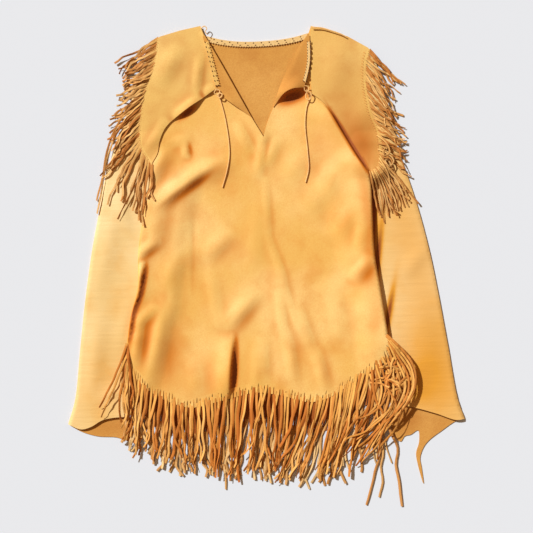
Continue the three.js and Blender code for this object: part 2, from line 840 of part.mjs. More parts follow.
const yokeEdge = (side) => smooth(yokeSides[side].outer);
const pieces = {
  back: [suede, panel(backOutline, surfaces.back)],
  front: [grain, panel(frontOutline, surfaces.front)],
  sleeve_left: [paleGrain, sleeve("left")],
  sleeve_right: [paleGrain, sleeve("right")],
  yoke_left: [paleGrain, panel(yokeOutlines.left, surfaces.yoke)],
  yoke_right: [paleGrain, panel(yokeOutlines.right, surfaces.yoke)],
  lapel_left: [suede, panel(lapelOutlines.left, surfaces.lapel)],
  lapel_right: [suede, panel(lapelOutlines.right, surfaces.lapel)],
  binding_back_neck: [pale, binding(backNeck, -bindingWidth / 2, surfaces.back, 2)],
  binding_lapel_left: [pale, binding(lapelSides.left.laced, bindingWidth / 2, surfaces.lapel)],
  binding_lapel_right: [pale, binding(lapelSides.right.laced, -bindingWidth / 2, surfaces.lapel)],
  fringe_hem_front: [
    grain,
    fringe({
      edge: smooth(hemLine),
      table: hemFringe,
      strands: 80,
      width: 4.6,
      stripFloor: surfaces.front,
      floor: onBackFringe,
      extras: leftSideStrands,
    }),
  ],
  fringe_hem_back: [
    suede,
    fringe({
      edge: smooth(backHem),
      table: backFringe,
      strands: 34,
      width: 5,
      stripFloor: surfaces.back,
      floor: onSleeves,
      extras: backTails,
    }),
  ],
  fringe_yoke_left: [
    paleGrain,
    fringe({
      edge: yokeEdge("left"),
      table: leftYokeFringe,
      strands: 36,
      width: 4,
      stripFloor: surfaces.yoke,
      floor: onSleevesAndFront,
      extras: leftSleeveStrands,
    }),
  ],
  fringe_yoke_right: [
    paleGrain,
    fringe({
      edge: reversed(yokeEdge("right")),
      table: rightYokeFringe,
      strands: 36,
      width: 4,
      stripFloor: surfaces.yoke,
      floor: onSleeves,
    }),
  ],
  tie_left: [pale, tie(ties.left)],
  tie_right: [pale, tie(ties.right)],
};

const tunic = new THREE.Group();
for (const [name, [finish, solid]] of Object.entries(pieces)) {
  const { vertProperties, triVerts, numProp, numVert } = solid.getMesh();
  const positions = new Float32Array(numVert * 3);
  for (let i = 0; i < numVert; i++)
    positions.set(vertProperties.subarray(i * numProp, i * numProp + 3), i * 3);
  const geometry = new THREE.BufferGeometry()
    .setAttribute("position", new THREE.BufferAttribute(positions, 3))
    .setIndex(new THREE.BufferAttribute(triVerts, 1));
  geometry.computeVertexNormals();
  const mesh = new THREE.Mesh(geometry, new THREE.MeshStandardMaterial(finish));
  mesh.name = name;
  tunic.add(mesh);
}

export default tunic;
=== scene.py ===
# A fringed buckskin tunic laid flat on its back, dressed over its solids.
# Metres. x runs to the right, y towards the neck, z up from the floor.
import math

import bpy
import numpy as np
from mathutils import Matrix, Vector, geometry


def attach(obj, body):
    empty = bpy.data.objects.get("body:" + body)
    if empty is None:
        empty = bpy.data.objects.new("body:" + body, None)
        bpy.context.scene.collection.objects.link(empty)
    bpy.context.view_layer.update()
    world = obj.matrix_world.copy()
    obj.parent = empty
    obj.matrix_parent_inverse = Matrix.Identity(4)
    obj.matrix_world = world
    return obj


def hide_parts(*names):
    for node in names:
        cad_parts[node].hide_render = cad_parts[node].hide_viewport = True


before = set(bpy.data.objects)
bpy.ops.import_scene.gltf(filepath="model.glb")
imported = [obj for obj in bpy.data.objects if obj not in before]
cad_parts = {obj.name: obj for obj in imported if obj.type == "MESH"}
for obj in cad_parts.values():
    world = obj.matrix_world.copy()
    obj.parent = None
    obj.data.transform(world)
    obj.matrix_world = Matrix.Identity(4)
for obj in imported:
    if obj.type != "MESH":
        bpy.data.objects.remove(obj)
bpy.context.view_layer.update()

print("frame loaded:", len(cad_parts), "solids")

hide = 0.0014  # thickness of the buckskin
gap = 0.0003  # between two layers

# Camera, light and floor
studio = {
    "lens": 100,
    "cameraHeight": 2.96,  # straight above, the photograph's angle
    "lampHeading": 138,  # degrees from the x axis to the key light
    "lampHeight": 38,  # and how high it stands
    "lampPower": 5.68,
    "lampTone": (0.852, 0.933, 1.0),
    "lampSpread": 2.6,  # degrees, for shadows with a soft edge
    "fill": 0.3,
    "fillTone": (1.0, 0.7, 0.45),  # warm, so that the hide glows in its own shadows
    "floor": (0.655, 0.655, 0.67),
    "floorSize": 30,
    "floorDrop": 0.0003,  # below the hide, so that the two share no plane
    "floorRough": 0.9,
    "floorGlint": 0.1,
}


def buildStudio(look):
    scene = bpy.context.scene
    scene.view_settings.view_transform = "Standard"
    camera = bpy.data.objects.new("camera", bpy.data.cameras.new("camera"))
    camera.data.lens = look["lens"]
    camera.location = (0, 0, look["cameraHeight"])
    scene.collection.objects.link(camera)
    scene.camera = camera
    lamp = bpy.data.objects.new("keyLight", bpy.data.lights.new("keyLight", "SUN"))
    lamp.data.energy = look["lampPower"]
    lamp.data.color = look["lampTone"]
    lamp.data.angle = math.radians(look["lampSpread"])
    heading, height = math.radians(look["lampHeading"]), math.radians(look["lampHeight"])
    flat = math.cos(height)
    source = Vector((flat * math.cos(heading), flat * math.sin(heading), math.sin(height)))
    lamp.rotation_euler = source.to_track_quat("Z", "Y").to_euler()
    scene.collection.objects.link(lamp)
    world = bpy.data.worlds.new("fill")
    world.use_nodes = True
    sky = world.node_tree.nodes["Background"].inputs
    sky["Color"].default_value = (*look["fillTone"], 1)
    sky["Strength"].default_value = look["fill"]
    scene.world = world
    bpy.ops.mesh.primitive_plane_add(size=look["floorSize"], location=(0, 0, -look["floorDrop"]))
    floor = bpy.context.object
    floor.name = "floor"
    plain = bpy.data.materials.new("paleFloor")
    plain.use_nodes = True
    surface = plain.node_tree.nodes["Principled BSDF"].inputs
    surface["Base Color"].default_value = (*look["floor"], 1)
    surface["Roughness"].default_value = look["floorRough"]
    surface["Specular IOR Level"].default_value = look["floorGlint"]
    floor.data.materials.append(plain)


buildStudio(studio)
print("studio ready")


# Lines and distances
def smooth(rows, step=0.004, fine=24):  # points about step apart on a smooth line through rows
    rows = np.array(rows, float)
    rows = np.vstack([2 * rows[0] - rows[1], rows, 2 * rows[-1] - rows[-2]])
    parts = []
    for a, b, c, d in zip(rows, rows[1:], rows[2:], rows[3:]):
        ta, tb, tc = (np.linalg.norm(v - u) ** 0.5 for u, v in ((a, b), (b, c), (c, d)))
        leave = tb * ((b - a) / ta - (c - a) / (ta + tb) + (c - b) / tb)
        arrive = tb * ((c - b) / tb - (d - b) / (tb + tc) + (d - c) / tc)
        t = np.linspace(0, 1, fine, endpoint=False)[:, None]
        ends = (2 * t**3 - 3 * t**2 + 1) * b + (3 * t**2 - 2 * t**3) * c
        parts.append(ends + (t**3 - 2 * t**2 + t) * leave + (t**3 - t**2) * arrive)
    line = np.vstack([*parts, rows[-2][None]])
    along = np.r_[0, np.cumsum(np.linalg.norm(np.diff(line, axis=0), axis=1))]
    at = np.linspace(0, along[-1], max(2, round(along[-1] / step)) + 1)
    return np.column_stack([np.interp(at, along, column) for column in line.T])


def outlineOf(*edges, tooClose=0.0008):  # one closed outline from edges that follow each other
    points = np.vstack([np.array(edge, float) for edge in edges])
    apart = np.linalg.norm(points - np.roll(points, 1, axis=0), axis=1) > tooClose
    return points[apart]


def beside(line, distance):  # a line moved to its left
    way = np.gradient(line, axis=0)
    across = np.column_stack([-way[:, 1], way[:, 0]])
    return line + distance * across / np.linalg.norm(across, axis=1)[:, None]


def offLine(line, x, y):  # distance to an open line, above zero on its left
    nearest = np.full(np.shape(x), 1e9)
    side = np.ones(np.shape(x))
    for (ax, ay), (bx, by) in zip(line[:-1], line[1:]):
        ex, ey = bx - ax, by - ay
        share = np.clip(((x - ax) * ex + (y - ay) * ey) / (ex * ex + ey * ey), 0, 1)
        away = np.hypot(x - ax - share * ex, y - ay - share * ey)
        side = np.where(away < nearest, np.sign(ex * (y - ay) - ey * (x - ax)), side)
        nearest = np.minimum(nearest, away)
    return nearest * side


def offOutline(outline, x, y):  # distance to a closed outline, below zero inside it
    inside = np.zeros(np.shape(x), bool)
    for (ax, ay), (bx, by) in zip(outline, np.roll(outline, -1, axis=0)):
        if ay != by:
            inside ^= ((ay > y) != (by > y)) & (x < ax + (y - ay) * (bx - ax) / (by - ay))
    nearest = np.abs(offLine(np.vstack([outline, outline[:1]]), x, y))
    return np.where(inside, -nearest, nearest)


def ease(value, start, end):  # 0 before start, 1 after end, smooth between
    share = np.clip((value - start) / (end - start), 0, 1)
    return share * share * (3 - 2 * share)


def rounded(distance, radius):  # how far a rolled edge has risen at this distance from it
    return np.sqrt(1 - (1 - np.clip(distance / radius, 0, 1)) ** 2)


def turned(x, y, middleX, middleY, turn):  # how far along and across a direction in degrees
    turn = math.radians(turn)
    along = (x - middleX) * math.cos(turn) + (y - middleY) * math.sin(turn)
    return along, (y - middleY) * math.cos(turn) - (x - middleX) * math.sin(turn)


def folds(rows, x, y):  # each row: x, y, turn, length, width to the left and right, height
    total = 0
    for foldX, foldY, turn, length, left, right, height in rows:
        along, across = turned(x, y, foldX, foldY, turn)
        ends = np.clip(1 - (2 * along / (1.3 * length)) ** 2, 0, 1) ** 2
        total = total + height * ends * np.exp(-((across / np.where(across > 0, left, right)) ** 2))
    return total


# Front and back: one width for each level, a curved hem, and a slit at the neck
body = {
    # y, left, right
    "levels": [
        (0.43, -0.215, 0.199), (0.38, -0.224, 0.193), (0.32, -0.238, 0.2), (0.262, -0.243, 0.212),
        (0.205, -0.236, 0.206), (0.15, -0.236, 0.21), (0.095, -0.247, 0.212), (0.025, -0.256, 0.216),
        (-0.04, -0.257, 0.227), (-0.1, -0.271, 0.237), (-0.14, -0.277, 0.243),
    ],
    "shoulderLeft": [(-0.132, 0.4785), (-0.172, 0.4695), (-0.212, 0.4575)],
    "shoulderRight": [(0.088, 0.4785), (0.114, 0.4735), (0.162, 0.4575), (0.202, 0.4355)],
    "armholeEnd": 0.205,
    "hem": [
        (-0.277, -0.14), (-0.268, -0.19), (-0.238, -0.224), (-0.195, -0.25), (-0.148, -0.262),
        (-0.104, -0.252), (-0.062, -0.241), (-0.02, -0.232), (0.032, -0.238), (0.088, -0.251),
        (0.128, -0.242), (0.168, -0.216), (0.206, -0.191), (0.23, -0.172), (0.243, -0.14),
    ],
    "backHemDrop": 0.011,
    "backNeck": [
        (-0.127, 0.462), (-0.09, 0.453), (-0.05, 0.449), (0.008, 0.451), (0.05, 0.457), (0.086, 0.467),
    ],
    "slitLeft": [(-0.124, 0.462), (-0.09, 0.404), (-0.054, 0.34), (-0.03, 0.298), (-0.006, 0.259)],
    "slitRight": [(-0.006, 0.259), (0.001, 0.286), (0.014, 0.318), (0.048, 0.386), (0.083, 0.464)],
    # x, y, turn, length, width to the left, width to the right, height
    "folds": [
        (-0.158, 0.167, 37, 0.13, 0.024, 0.011, 0.008),  # the crease below the left yoke
        (-0.106, 0.195, 26, 0.09, 0.024, 0.022, 0.005),
        (-0.198, 0.14, 44, 0.07, 0.022, 0.018, 0.0045),
        (-0.214, 0.204, 66, 0.085, 0.014, 0.017, 0.0048),
        (-0.159, 0.232, 102, 0.034, 0.012, 0.0045, 0.003),  # and its small hook
        (-0.176, 0.25, 10, 0.05, 0.012, 0.012, 0.0022),
        (-0.22, 0.08, 84, 0.11, 0.02, 0.02, 0.0046),
        (-0.236, 0.036, 36, 0.056, 0.014, 0.01, 0.004),
        (-0.152, 0.03, 90, 0.17, 0.012, 0.0026, 0.0007),
        (-0.098, 0.042, 46, 0.08, 0.024, 0.017, 0.0036),
        (-0.178, 0, 60, 0.11, 0.022, 0.024, 0.0034),
        (-0.252, -0.026, 79, 0.066, 0.01, 0.004, 0.008),  # beside the left side
        (-0.265, -0.074, 68, 0.062, 0.01, 0.004, 0.008),
        (-0.274, -0.118, 80, 0.06, 0.008, 0.004, 0.007),
        (-0.24, -0.098, 46, 0.06, 0.014, 0.012, 0.004),
        (-0.256, -0.15, 82, 0.095, 0.012, 0.012, 0.0058),
        (-0.214, -0.15, 80, 0.15, 0.018, 0.022, 0.0062),
        (-0.186, -0.07, 84, 0.09, 0.016, 0.018, 0.003),
        (-0.104, -0.06, 100, 0.12, 0.014, 0.014, 0.002),
        (-0.05, -0.088, 50, 0.1, 0.022, 0.016, 0.005),
        (-0.0725, -0.208, 86, 0.126, 0.03, 0.0046, 0.0145),  # the deep fold at the hem
        (-0.14, -0.22, 96, 0.08, 0.02, 0.02, 0.003),
        (-0.02, -0.2, 88, 0.11, 0.014, 0.012, 0.002),
        (0.02, 0.02, 112, 0.11, 0.012, 0.006, 0.0013),
        (0.042, -0.06, 106, 0.15, 0.014, 0.008, 0.0018),
        (0.076, -0.12, 110, 0.12, 0.016, 0.011, 0.0026),
        (0.11, -0.206, 106, 0.09, 0.016, 0.011, 0.0034),
        (0.03, -0.09, 98, 0.14, 0.014, 0.01, 0.0022),
        (0.05, -0.18, 98, 0.11, 0.018, 0.011, 0.003),
        (-0.004, -0.19, 92, 0.09, 0.012, 0.01, 0.0018),
        (0.14, -0.09, 98, 0.13, 0.02, 0.02, 0.0022),
        (0.19, -0.004, 52, 0.06, 0.016, 0.014, 0.0042),  # the dimple by the right side
        (0.158, 0.09, 60, 0.09, 0.022, 0.02, 0.004),
        (0.186, 0.06, 84, 0.09, 0.014, 0.014, 0.0024),
        (0.11, 0.15, 58, 0.11, 0.026, 0.024, 0.0036),
        (0.06, 0.2, 56, 0.09, 0.024, 0.024, 0.0026),
        (-0.012, 0.218, 84, 0.08, 0.013, 0.01, 0.0034),  # drawn by the slit's end
        (-0.044, 0.256, 120, 0.07, 0.014, 0.01, 0.003),
        (0.01, 0.226, 70, 0.07, 0.01, 0.012, 0.0024),
        (0.002, 0.11, 94, 0.13, 0.01, 0.006, 0.0012),
        (-0.02, 0.06, 84, 0.15, 0.02, 0.018, 0.0018),
    ],
    # rims: how high, how far in their crest is, how wide inwards, how wide outwards
    "leftSide": (0.0024, 0.006, 0.016, 0.008),
    "rightSide": (0.0105, 0.004, 0.042, 0.01),
    "yokeRim": (0.0095, 0.005, 0.036, 0.0034),
    "slitRim": (0.003, 0.0, 0.012, 0.006),
    "rollWidth": 0.004,
    "clearOfSleeve": 0.022,
    "rampOffSleeve": 0.04,
    "liftTop": 0.245,  # above this level no sleeve lies under the body
    "rimTop": (0.18, 0.24),  # the levels between which the rims of the sides end
    "ridge": ((0.17, 0.21), (0.29, 0.34)),  # and those between which the yoke's ridge starts and ends
}
# Sleeves from the shoulder tip to the cuff: outer fold, the edge under the body, and the two cuff lines
sleeves = {
    "left": {
        "outer": [
            (-0.214, 0.452), (-0.24, 0.415), (-0.262, 0.355), (-0.294, 0.258), (-0.322, 0.178),
            (-0.336, 0.1), (-0.349, 0.028), (-0.364, -0.085), (-0.373, -0.175), (-0.382, -0.265),
            (-0.396, -0.315),
        ],
        "inner": [
            (-0.18, 0.186), (-0.2, 0.09), (-0.224, -0.025), (-0.25, -0.15), (-0.27, -0.24), (-0.282, -0.3),
        ],
        "topCuff": [
            (-0.282, -0.3), (-0.306, -0.302), (-0.328, -0.307), (-0.35, -0.32), (-0.37, -0.325),
            (-0.396, -0.315),
        ],
        "underCuff": [
            (-0.282, -0.3), (-0.262, -0.35), (-0.302, -0.341), (-0.338, -0.339), (-0.372, -0.329),
            (-0.396, -0.315),
        ],
    },
    "right": {
        "outer": [
            (0.202, 0.434), (0.222, 0.398), (0.236, 0.34), (0.246, 0.275), (0.268, 0.218), (0.3, 0.125),
            (0.325, 0.032), (0.342, -0.049), (0.362, -0.156), (0.382, -0.265), (0.396, -0.304),
        ],
        "inner": [
            (0.152, 0.18), (0.176, 0.11), (0.2, 0.01), (0.226, -0.095), (0.242, -0.2), (0.248, -0.274),
        ],
        "topCuff": [(0.248, -0.274), (0.289, -0.28), (0.338, -0.293), (0.378, -0.306), (0.396, -0.304)],
        "underCuff": [
            (0.248, -0.274), (0.252, -0.332), (0.268, -0.35), (0.276, -0.339), (0.288, -0.336),
            (0.303, -0.327), (0.305, -0.35), (0.299, -0.373), (0.302, -0.394), (0.314, -0.435),
            (0.31, -0.402), (0.307, -0.382), (0.314, -0.361), (0.325, -0.347), (0.35, -0.328),
            (0.378, -0.309), (0.396, -0.304),
        ],
    },
    "folds": [
        (-0.283, -0.112, 78, 0.11, 0.014, 0.008, 0.001), (-0.318, 0.04, 78, 0.26, 0.022, 0.022, 0.003),
        (-0.342, -0.18, 84, 0.2, 0.02, 0.02, 0.003), (0.296, 0.01, 52, 0.08, 0.02, 0.016, 0.002),
        (0.318, -0.15, 101, 0.2, 0.026, 0.026, 0.0016), (0.29, -0.23, 150, 0.1, 0.014, 0.01, 0.0015),
        (-0.3, -0.25, 20, 0.08, 0.012, 0.01, 0.0015), (-0.286, 0.12, 100, 0.14, 0.014, 0.012, 0.002),
    ],
    "puff": 0.0015,  # how far the upper wall stands off the under one
    "cuffPuff": 0.0022,  # and how much more at the cuff
    "rollWidth": 0.007,
    "cuffLevels": (-0.3, -0.2),
    "pinch": 0.0001,  # what is left between the walls at the outer fold
}
# Yokes below the shoulder lines, which are the body's, a little higher
yokes = {
    "left": {
        "shoulder": [(-0.132, 0.48), (-0.172, 0.471), (-0.212, 0.459)],
        "outer": [
            (-0.212, 0.459), (-0.216, 0.425), (-0.222, 0.392), (-0.236, 0.355), (-0.245, 0.312),
            (-0.249, 0.27), (-0.246, 0.238), (-0.227, 0.207),
        ],
        "free": [
            (-0.227, 0.207), (-0.217, 0.226), (-0.213, 0.25), (-0.2, 0.279), (-0.164, 0.31), (-0.13, 0.334),
            (-0.1, 0.355),
        ],
        "neck": [(-0.1, 0.355), (-0.104, 0.39), (-0.115, 0.432), (-0.132, 0.48)],
    },
    "right": {
        "shoulder": [(0.088, 0.48), (0.114, 0.475), (0.162, 0.459), (0.202, 0.437)],
        "outer": [
            (0.202, 0.437), (0.196, 0.413), (0.194, 0.377), (0.199, 0.338), (0.208, 0.299), (0.22, 0.27),
            (0.225, 0.232), (0.223, 0.198), (0.206, 0.187),
        ],
        "free": [
            (0.206, 0.187), (0.183, 0.221), (0.156, 0.266), (0.127, 0.313), (0.106, 0.334), (0.09, 0.345),
        ],
        "neck": [(0.09, 0.345), (0.088, 0.4), (0.087, 0.44), (0.088, 0.48)],
    },
    "folds": [
        (-0.156, 0.314, 38, 0.066, 0.016, 0.012, 0.0085),  # the lifted pocket in the left one's free edge
        (-0.136, 0.384, 84, 0.08, 0.012, 0.008, 0.003),
        (-0.112, 0.35, 30, 0.03, 0.012, 0.008, 0.003),
        (-0.196, 0.4, 62, 0.09, 0.022, 0.018, 0.004),
        (-0.222, 0.256, 60, 0.08, 0.012, 0.012, 0.003),
        (0.14, 0.4, 84, 0.11, 0.028, 0.028, 0.003),
        (0.186, 0.29, 70, 0.09, 0.022, 0.022, 0.002),
    ],
}
# Lapels: the laced edge, the free edge, and the fold line. The right one's runs out over the back.
lapels = {
    "left": {
        "laced": [(-0.127, 0.458), (-0.117, 0.419), (-0.108, 0.383), (-0.099, 0.348)],
        "free": [(-0.099, 0.348), (-0.072, 0.327), (-0.031, 0.299)],
        "fold": body["slitLeft"][:4],
    },
    "right": {
        "laced": [(0.086, 0.46), (0.086, 0.405), (0.075, 0.357)],
        "free": [(0.075, 0.357), (0.05, 0.353), (0.033, 0.343), (0.014, 0.318)],
        "fold": [(0.014, 0.318), (0.024, 0.352), (0.04, 0.392), (0.06, 0.432), (0.083, 0.464)],
    },
    "folds": [
        (-0.066, 0.324, -34, 0.06, 0.014, 0.01, 0.003),
        (0.046, 0.349, 26, 0.062, 0.016, 0.012, 0.015),  # the right one's lifted free edge
    ],
    "reach": 0.04,  # how far the yokes' height is felt beside them
    "runOut": 0.01,  # how far past the slit the right one comes down to the back
}


bothSides = ("left", "right")


def sideOf(side):
    column = 1 if side == "left" else 2
    return smooth([(row[column], row[0]) for row in body["levels"]])


def armhole(side):  # the body's edge above the armhole's end, a gap off it
    line = sideOf(side)
    shift = -gap if side == "left" else gap
    return line[line[:, 1] > body["armholeEnd"]] + (shift, 0)


def sleeveOutline(side, cuff):
    rows = sleeves[side]
    return outlineOf(
        armhole(side), smooth(rows["inner"]), smooth(rows[cuff]), smooth(rows["outer"])[::-1]
    )


sides = {side: sideOf(side) for side in bothSides}
hem = smooth(body["hem"])
backHem = smooth([(x, y - body["backHemDrop"]) for x, y in body["hem"][1:-1]])
outlines = {
    "front": outlineOf(
        body["shoulderLeft"][::-1], smooth(body["slitLeft"]), smooth(body["slitRight"]),
        body["shoulderRight"], sides["right"], hem[::-1], sides["left"][::-1],
    ),
    "back": outlineOf(
        body["shoulderLeft"][::-1], smooth(body["backNeck"]), body["shoulderRight"],
        sides["right"], backHem[::-1], sides["left"][::-1],
    ),
}
for side in bothSides:
    yoke, lapel = yokes[side], lapels[side]
    outlines["sleeveTop", side] = sleeveOutline(side, "topCuff")
    outlines["sleeveUnder", side] = sleeveOutline(side, "underCuff")
    outlines["yoke", side] = outlineOf(
        yoke["shoulder"], smooth(yoke["outer"]), smooth(yoke["free"]), smooth(yoke["neck"])
    )
    folded = smooth(lapel["fold"])
    outlines["lapel", side] = outlineOf(
        smooth(lapel["laced"]), smooth(lapel["free"]), folded[::-1] if side == "left" else folded
    )


# Underside of each layer at a point, from the floor up. Its top is hide above it.
def cover(outline, x, y, clear=body["clearOfSleeve"], ramp=body["rampOffSleeve"]):
    return 1 - ease(offOutline(outline[::5], x, y), clear, clear + ramp)


def sleeveRise(x, y):
    cuff = (1 - ease(y, *sleeves["cuffLevels"])) * sleeves["cuffPuff"]
    return hide + gap + sleeves["puff"] + cuff + folds(sleeves["folds"], x, y)


def sleeveLow(x, y):  # the upper wall comes down to the under one along the outer fold
    folded = [np.abs(offLine(smooth(sleeves[side]["outer"], step=0.02), x, y)) for side in bothSides]
    risen = rounded(np.minimum(*folded), sleeves["rollWidth"])
    return hide + sleeves["pinch"] + (sleeveRise(x, y) - hide) * risen


def backLow(x, y):  # flat on the floor, lifted where a sleeve lies under it
    below = 1 - ease(y, body["liftTop"], body["liftTop"] + body["rampOffSleeve"])
    lift = np.maximum(*(cover(outlines["sleeveTop", side], x, y) for side in bothSides))
    return below * lift * (sleeveRise(x, y) + hide + gap)


def sideDistance(x, y):  # to the body's left side and to its right one
    return [np.abs(offLine(sides[side], x, y)) for side in bothSides]


def rim(distance, size):  # a crest beside a line
    height, crest, inwards, outwards = size
    width = np.where(distance > crest, inwards, outwards)
    return height * np.exp(-(((distance - crest) / width) ** 2))


def frontRise(x, y, ridge=1):  # with or without the ridge along the right yoke's free edge
    left, right = sideDistance(x, y)
    atSides = rim(left, body["leftSide"]) + rim(right, body["rightSide"])
    below = 1 - ease(y, *body["rimTop"])
    start, end = body["ridge"]
    free = offLine(smooth(yokes["right"]["free"]), x, y)
    onYoke = ridge * rim(free, body["yokeRim"]) * (1 - ease(y, *end)) * ease(y, *start)
    slit = rim(np.abs(offLine(smooth(body["slitLeft"], step=0.012), x, y)), body["slitRim"])
    return backLow(x, y) + hide + gap + folds(body["folds"], x, y) + atSides * below + onYoke + slit


def frontLow(x, y):  # the front's sides roll down to the back
    bottom = backLow(x, y) + hide + gap
    inwards = np.minimum(*sideDistance(x, y))
    return bottom + (frontRise(x, y) - bottom) * rounded(inwards, body["rollWidth"])


def yokeLow(x, y):
    under = np.maximum(frontRise(x, y, ridge=0), sleeveRise(x, y))
    return under + hide + gap + folds(yokes["folds"], x, y)


def lapelLow(x, y):
    reach = lapels["reach"]
    near = [cover(outlines["yoke", side], x, y, reach, reach) for side in bothSides]
    front, yoke = frontRise(x, y) + hide, yokeLow(x, y) + hide
    onYoke = np.maximum(*near) * np.maximum(0, yoke - front)
    past = ease(offLine(smooth(body["slitRight"]), x, y), 0, lapels["runOut"]) * (np.asarray(x) > 0)
    return front + onYoke + gap + folds(lapels["folds"], x, y) - (hide + gap) * past


# Small wrapper for node trees: a Value is one socket that + - * work on
class Value:
    def __init__(self, graph, socket):
        self.graph, self.socket = graph, socket

    def at(self, output):
        return Value(self.graph, self.socket.node.outputs[output])

    def __add__(self, other):
        return self.graph.maths("ADD", self, other)

    def __radd__(self, other):
        return self.graph.maths("ADD", other, self)

    def __sub__(self, other):
        return self.graph.maths("SUBTRACT", self, other)

    def __rsub__(self, other):
        return self.graph.maths("SUBTRACT", other, self)

    def __mul__(self, other):
        return self.graph.maths("MULTIPLY", self, other)

    def __rmul__(self, other):
        return self.graph.maths("MULTIPLY", other, self)


class Graph:  # a node tree built line by line
    def __init__(self, tree):
        self.tree = tree

    def add(self, kind, settings=None, values=None, output=0):
        node = self.tree.nodes.new(kind)
        for key, value in (settings or {}).items():
            setattr(node, key, value)
        for key, value in (values or {}).items():
            if isinstance(value, Value):
                self.tree.links.new(value.socket, node.inputs[key])
            else:
                node.inputs[key].default_value = value
        return Value(self, node.outputs[output]) if len(node.outputs) else node

    def maths(self, operation, first, second=0.0):
        return self.add("ShaderNodeMath", {"operation": operation}, {0: first, 1: second})

    def soft(self, value, low, high, start=0.0, end=1.0):  # start below low, end above high
        return self.add(
            "ShaderNodeMapRange", {"interpolation_type": "SMOOTHSTEP"},
            {"Value": value, "From Min": low, "From Max": high, "To Min": start, "To Max": end},
        )

    def vector(self, x, y, z=0.0):
        return self.add("ShaderNodeCombineXYZ", {}, {0: x, 1: y, 2: z})

    def parts(self, vector):
        return self.add("ShaderNodeSeparateXYZ", {}, {0: vector})

    def fact(self, name):  # a value that the points carry
        return self.add("GeometryNodeInputNamedAttribute", {"data_type": "FLOAT"}, {"Name": name})

    def store(self, points, name, value):
        return self.add(
            "GeometryNodeStoreNamedAttribute", {"data_type": "FLOAT", "domain": "POINT"},
            {"Geometry": points, "Name": name, "Value": value},
        )


# Finishes
def tone(*channels):  # a colour as seen on screen, turned into light
    return (*(((v / 255 + 0.055) / 1.055) ** 2.4 if v > 10 else v / 3294 for v in channels), 1)


paintedShadow = tone(140, 62, 14)  # painted shadow: the hide's colour in deep shade, in folds, gaps and under lifted edges
strandEdgeShade = tone(104, 44, 10)  # painted shade at the cut sides of a strand
plainFinish = {"speck": 0.05, "nap": 0.2, "rough": 0.8, "crinkle": 0.3, "stretch": (80, 80)}
finishes = {  # root: the colour of a strand where it is cut from its panel
    "frontGrain": {"base": (227, 175, 87), "light": (240, 197, 119), "deep": (208, 118, 30),
                   "speck": 0.07, "nap": 0.18, "rough": 0.55, "crinkle": 0.8, "stretch": (34, 34)},
    "sleeveGrain": {"base": (228, 189, 122), "light": (236, 203, 144), "deep": (216, 146, 44),
                    "speck": 0.03, "nap": 0.08, "rough": 0.62, "crinkle": 0.9, "stretch": (14, 110)},
    "yokeGrain": {"base": (224, 177, 93), "light": (234, 192, 111), "deep": (186, 108, 32),
                  "speck": 0.06, "nap": 0.16, "rough": 0.7, "stretch": (40, 40)},
    "suede": {"base": (205, 145, 66), "light": (216, 158, 80), "deep": (172, 100, 34),
              "speck": 0.08, "nap": 0.26, "rough": 0.95, "stretch": (60, 60)},
    "hemLeather": {"base": (212, 142, 58), "light": (228, 168, 88), "deep": (182, 100, 28),
                   "root": (231, 167, 78)},
    "yokeStrand": {"base": (212, 156, 84), "light": (224, 174, 106), "deep": (176, 106, 40),
                   "root": (220, 168, 92), "nap": 0.25},
    "paleStrand": {"base": (214, 164, 98), "light": (226, 186, 126), "deep": (186, 122, 54),
                   "root": (204, 140, 68)},
    "bindingLeather": {"base": (224, 184, 120), "light": (236, 204, 146), "deep": (200, 142, 70),
                       "speck": 0.06, "nap": 0.3},
    "laceLeather": {"base": (240, 188, 116), "light": (246, 200, 134), "deep": (160, 92, 30),
                    "nap": 0.3, "rough": 0.75, "crinkle": 0.2},
    "holeShade": {"base": (84, 40, 12), "light": (96, 48, 16), "deep": (52, 22, 6),
                  "nap": 0.0, "rough": 0.9, "crinkle": 0.0},
}
hideSurface = {
    "patchShare": 0.35,  # how strong the deeper patches are
    "roughDrift": 0.12,  # how much the roughness changes from place to place
    "glint": 0.28,
    "bumpStrength": 0.7,
    "bumpDepth": 0.0011,
    "fibreHeight": 0.25,  # beside the crinkle of each finish
    "dustHeight": 0.12,
    "stretchZ": 60,  # the crinkle's third scale
}
grain = {
    # how fine, how detailed, and the values between which its mark comes up
    "cloud": (5.0, 3.0, 0.38, 0.66),
    "patch": (16.0, 4.0, 0.45, 0.75),
    "fibre": (420.0, 6.0, 0.35, 0.75),
    "dust": (1100.0, 2.0, 0.4, 0.7),
}


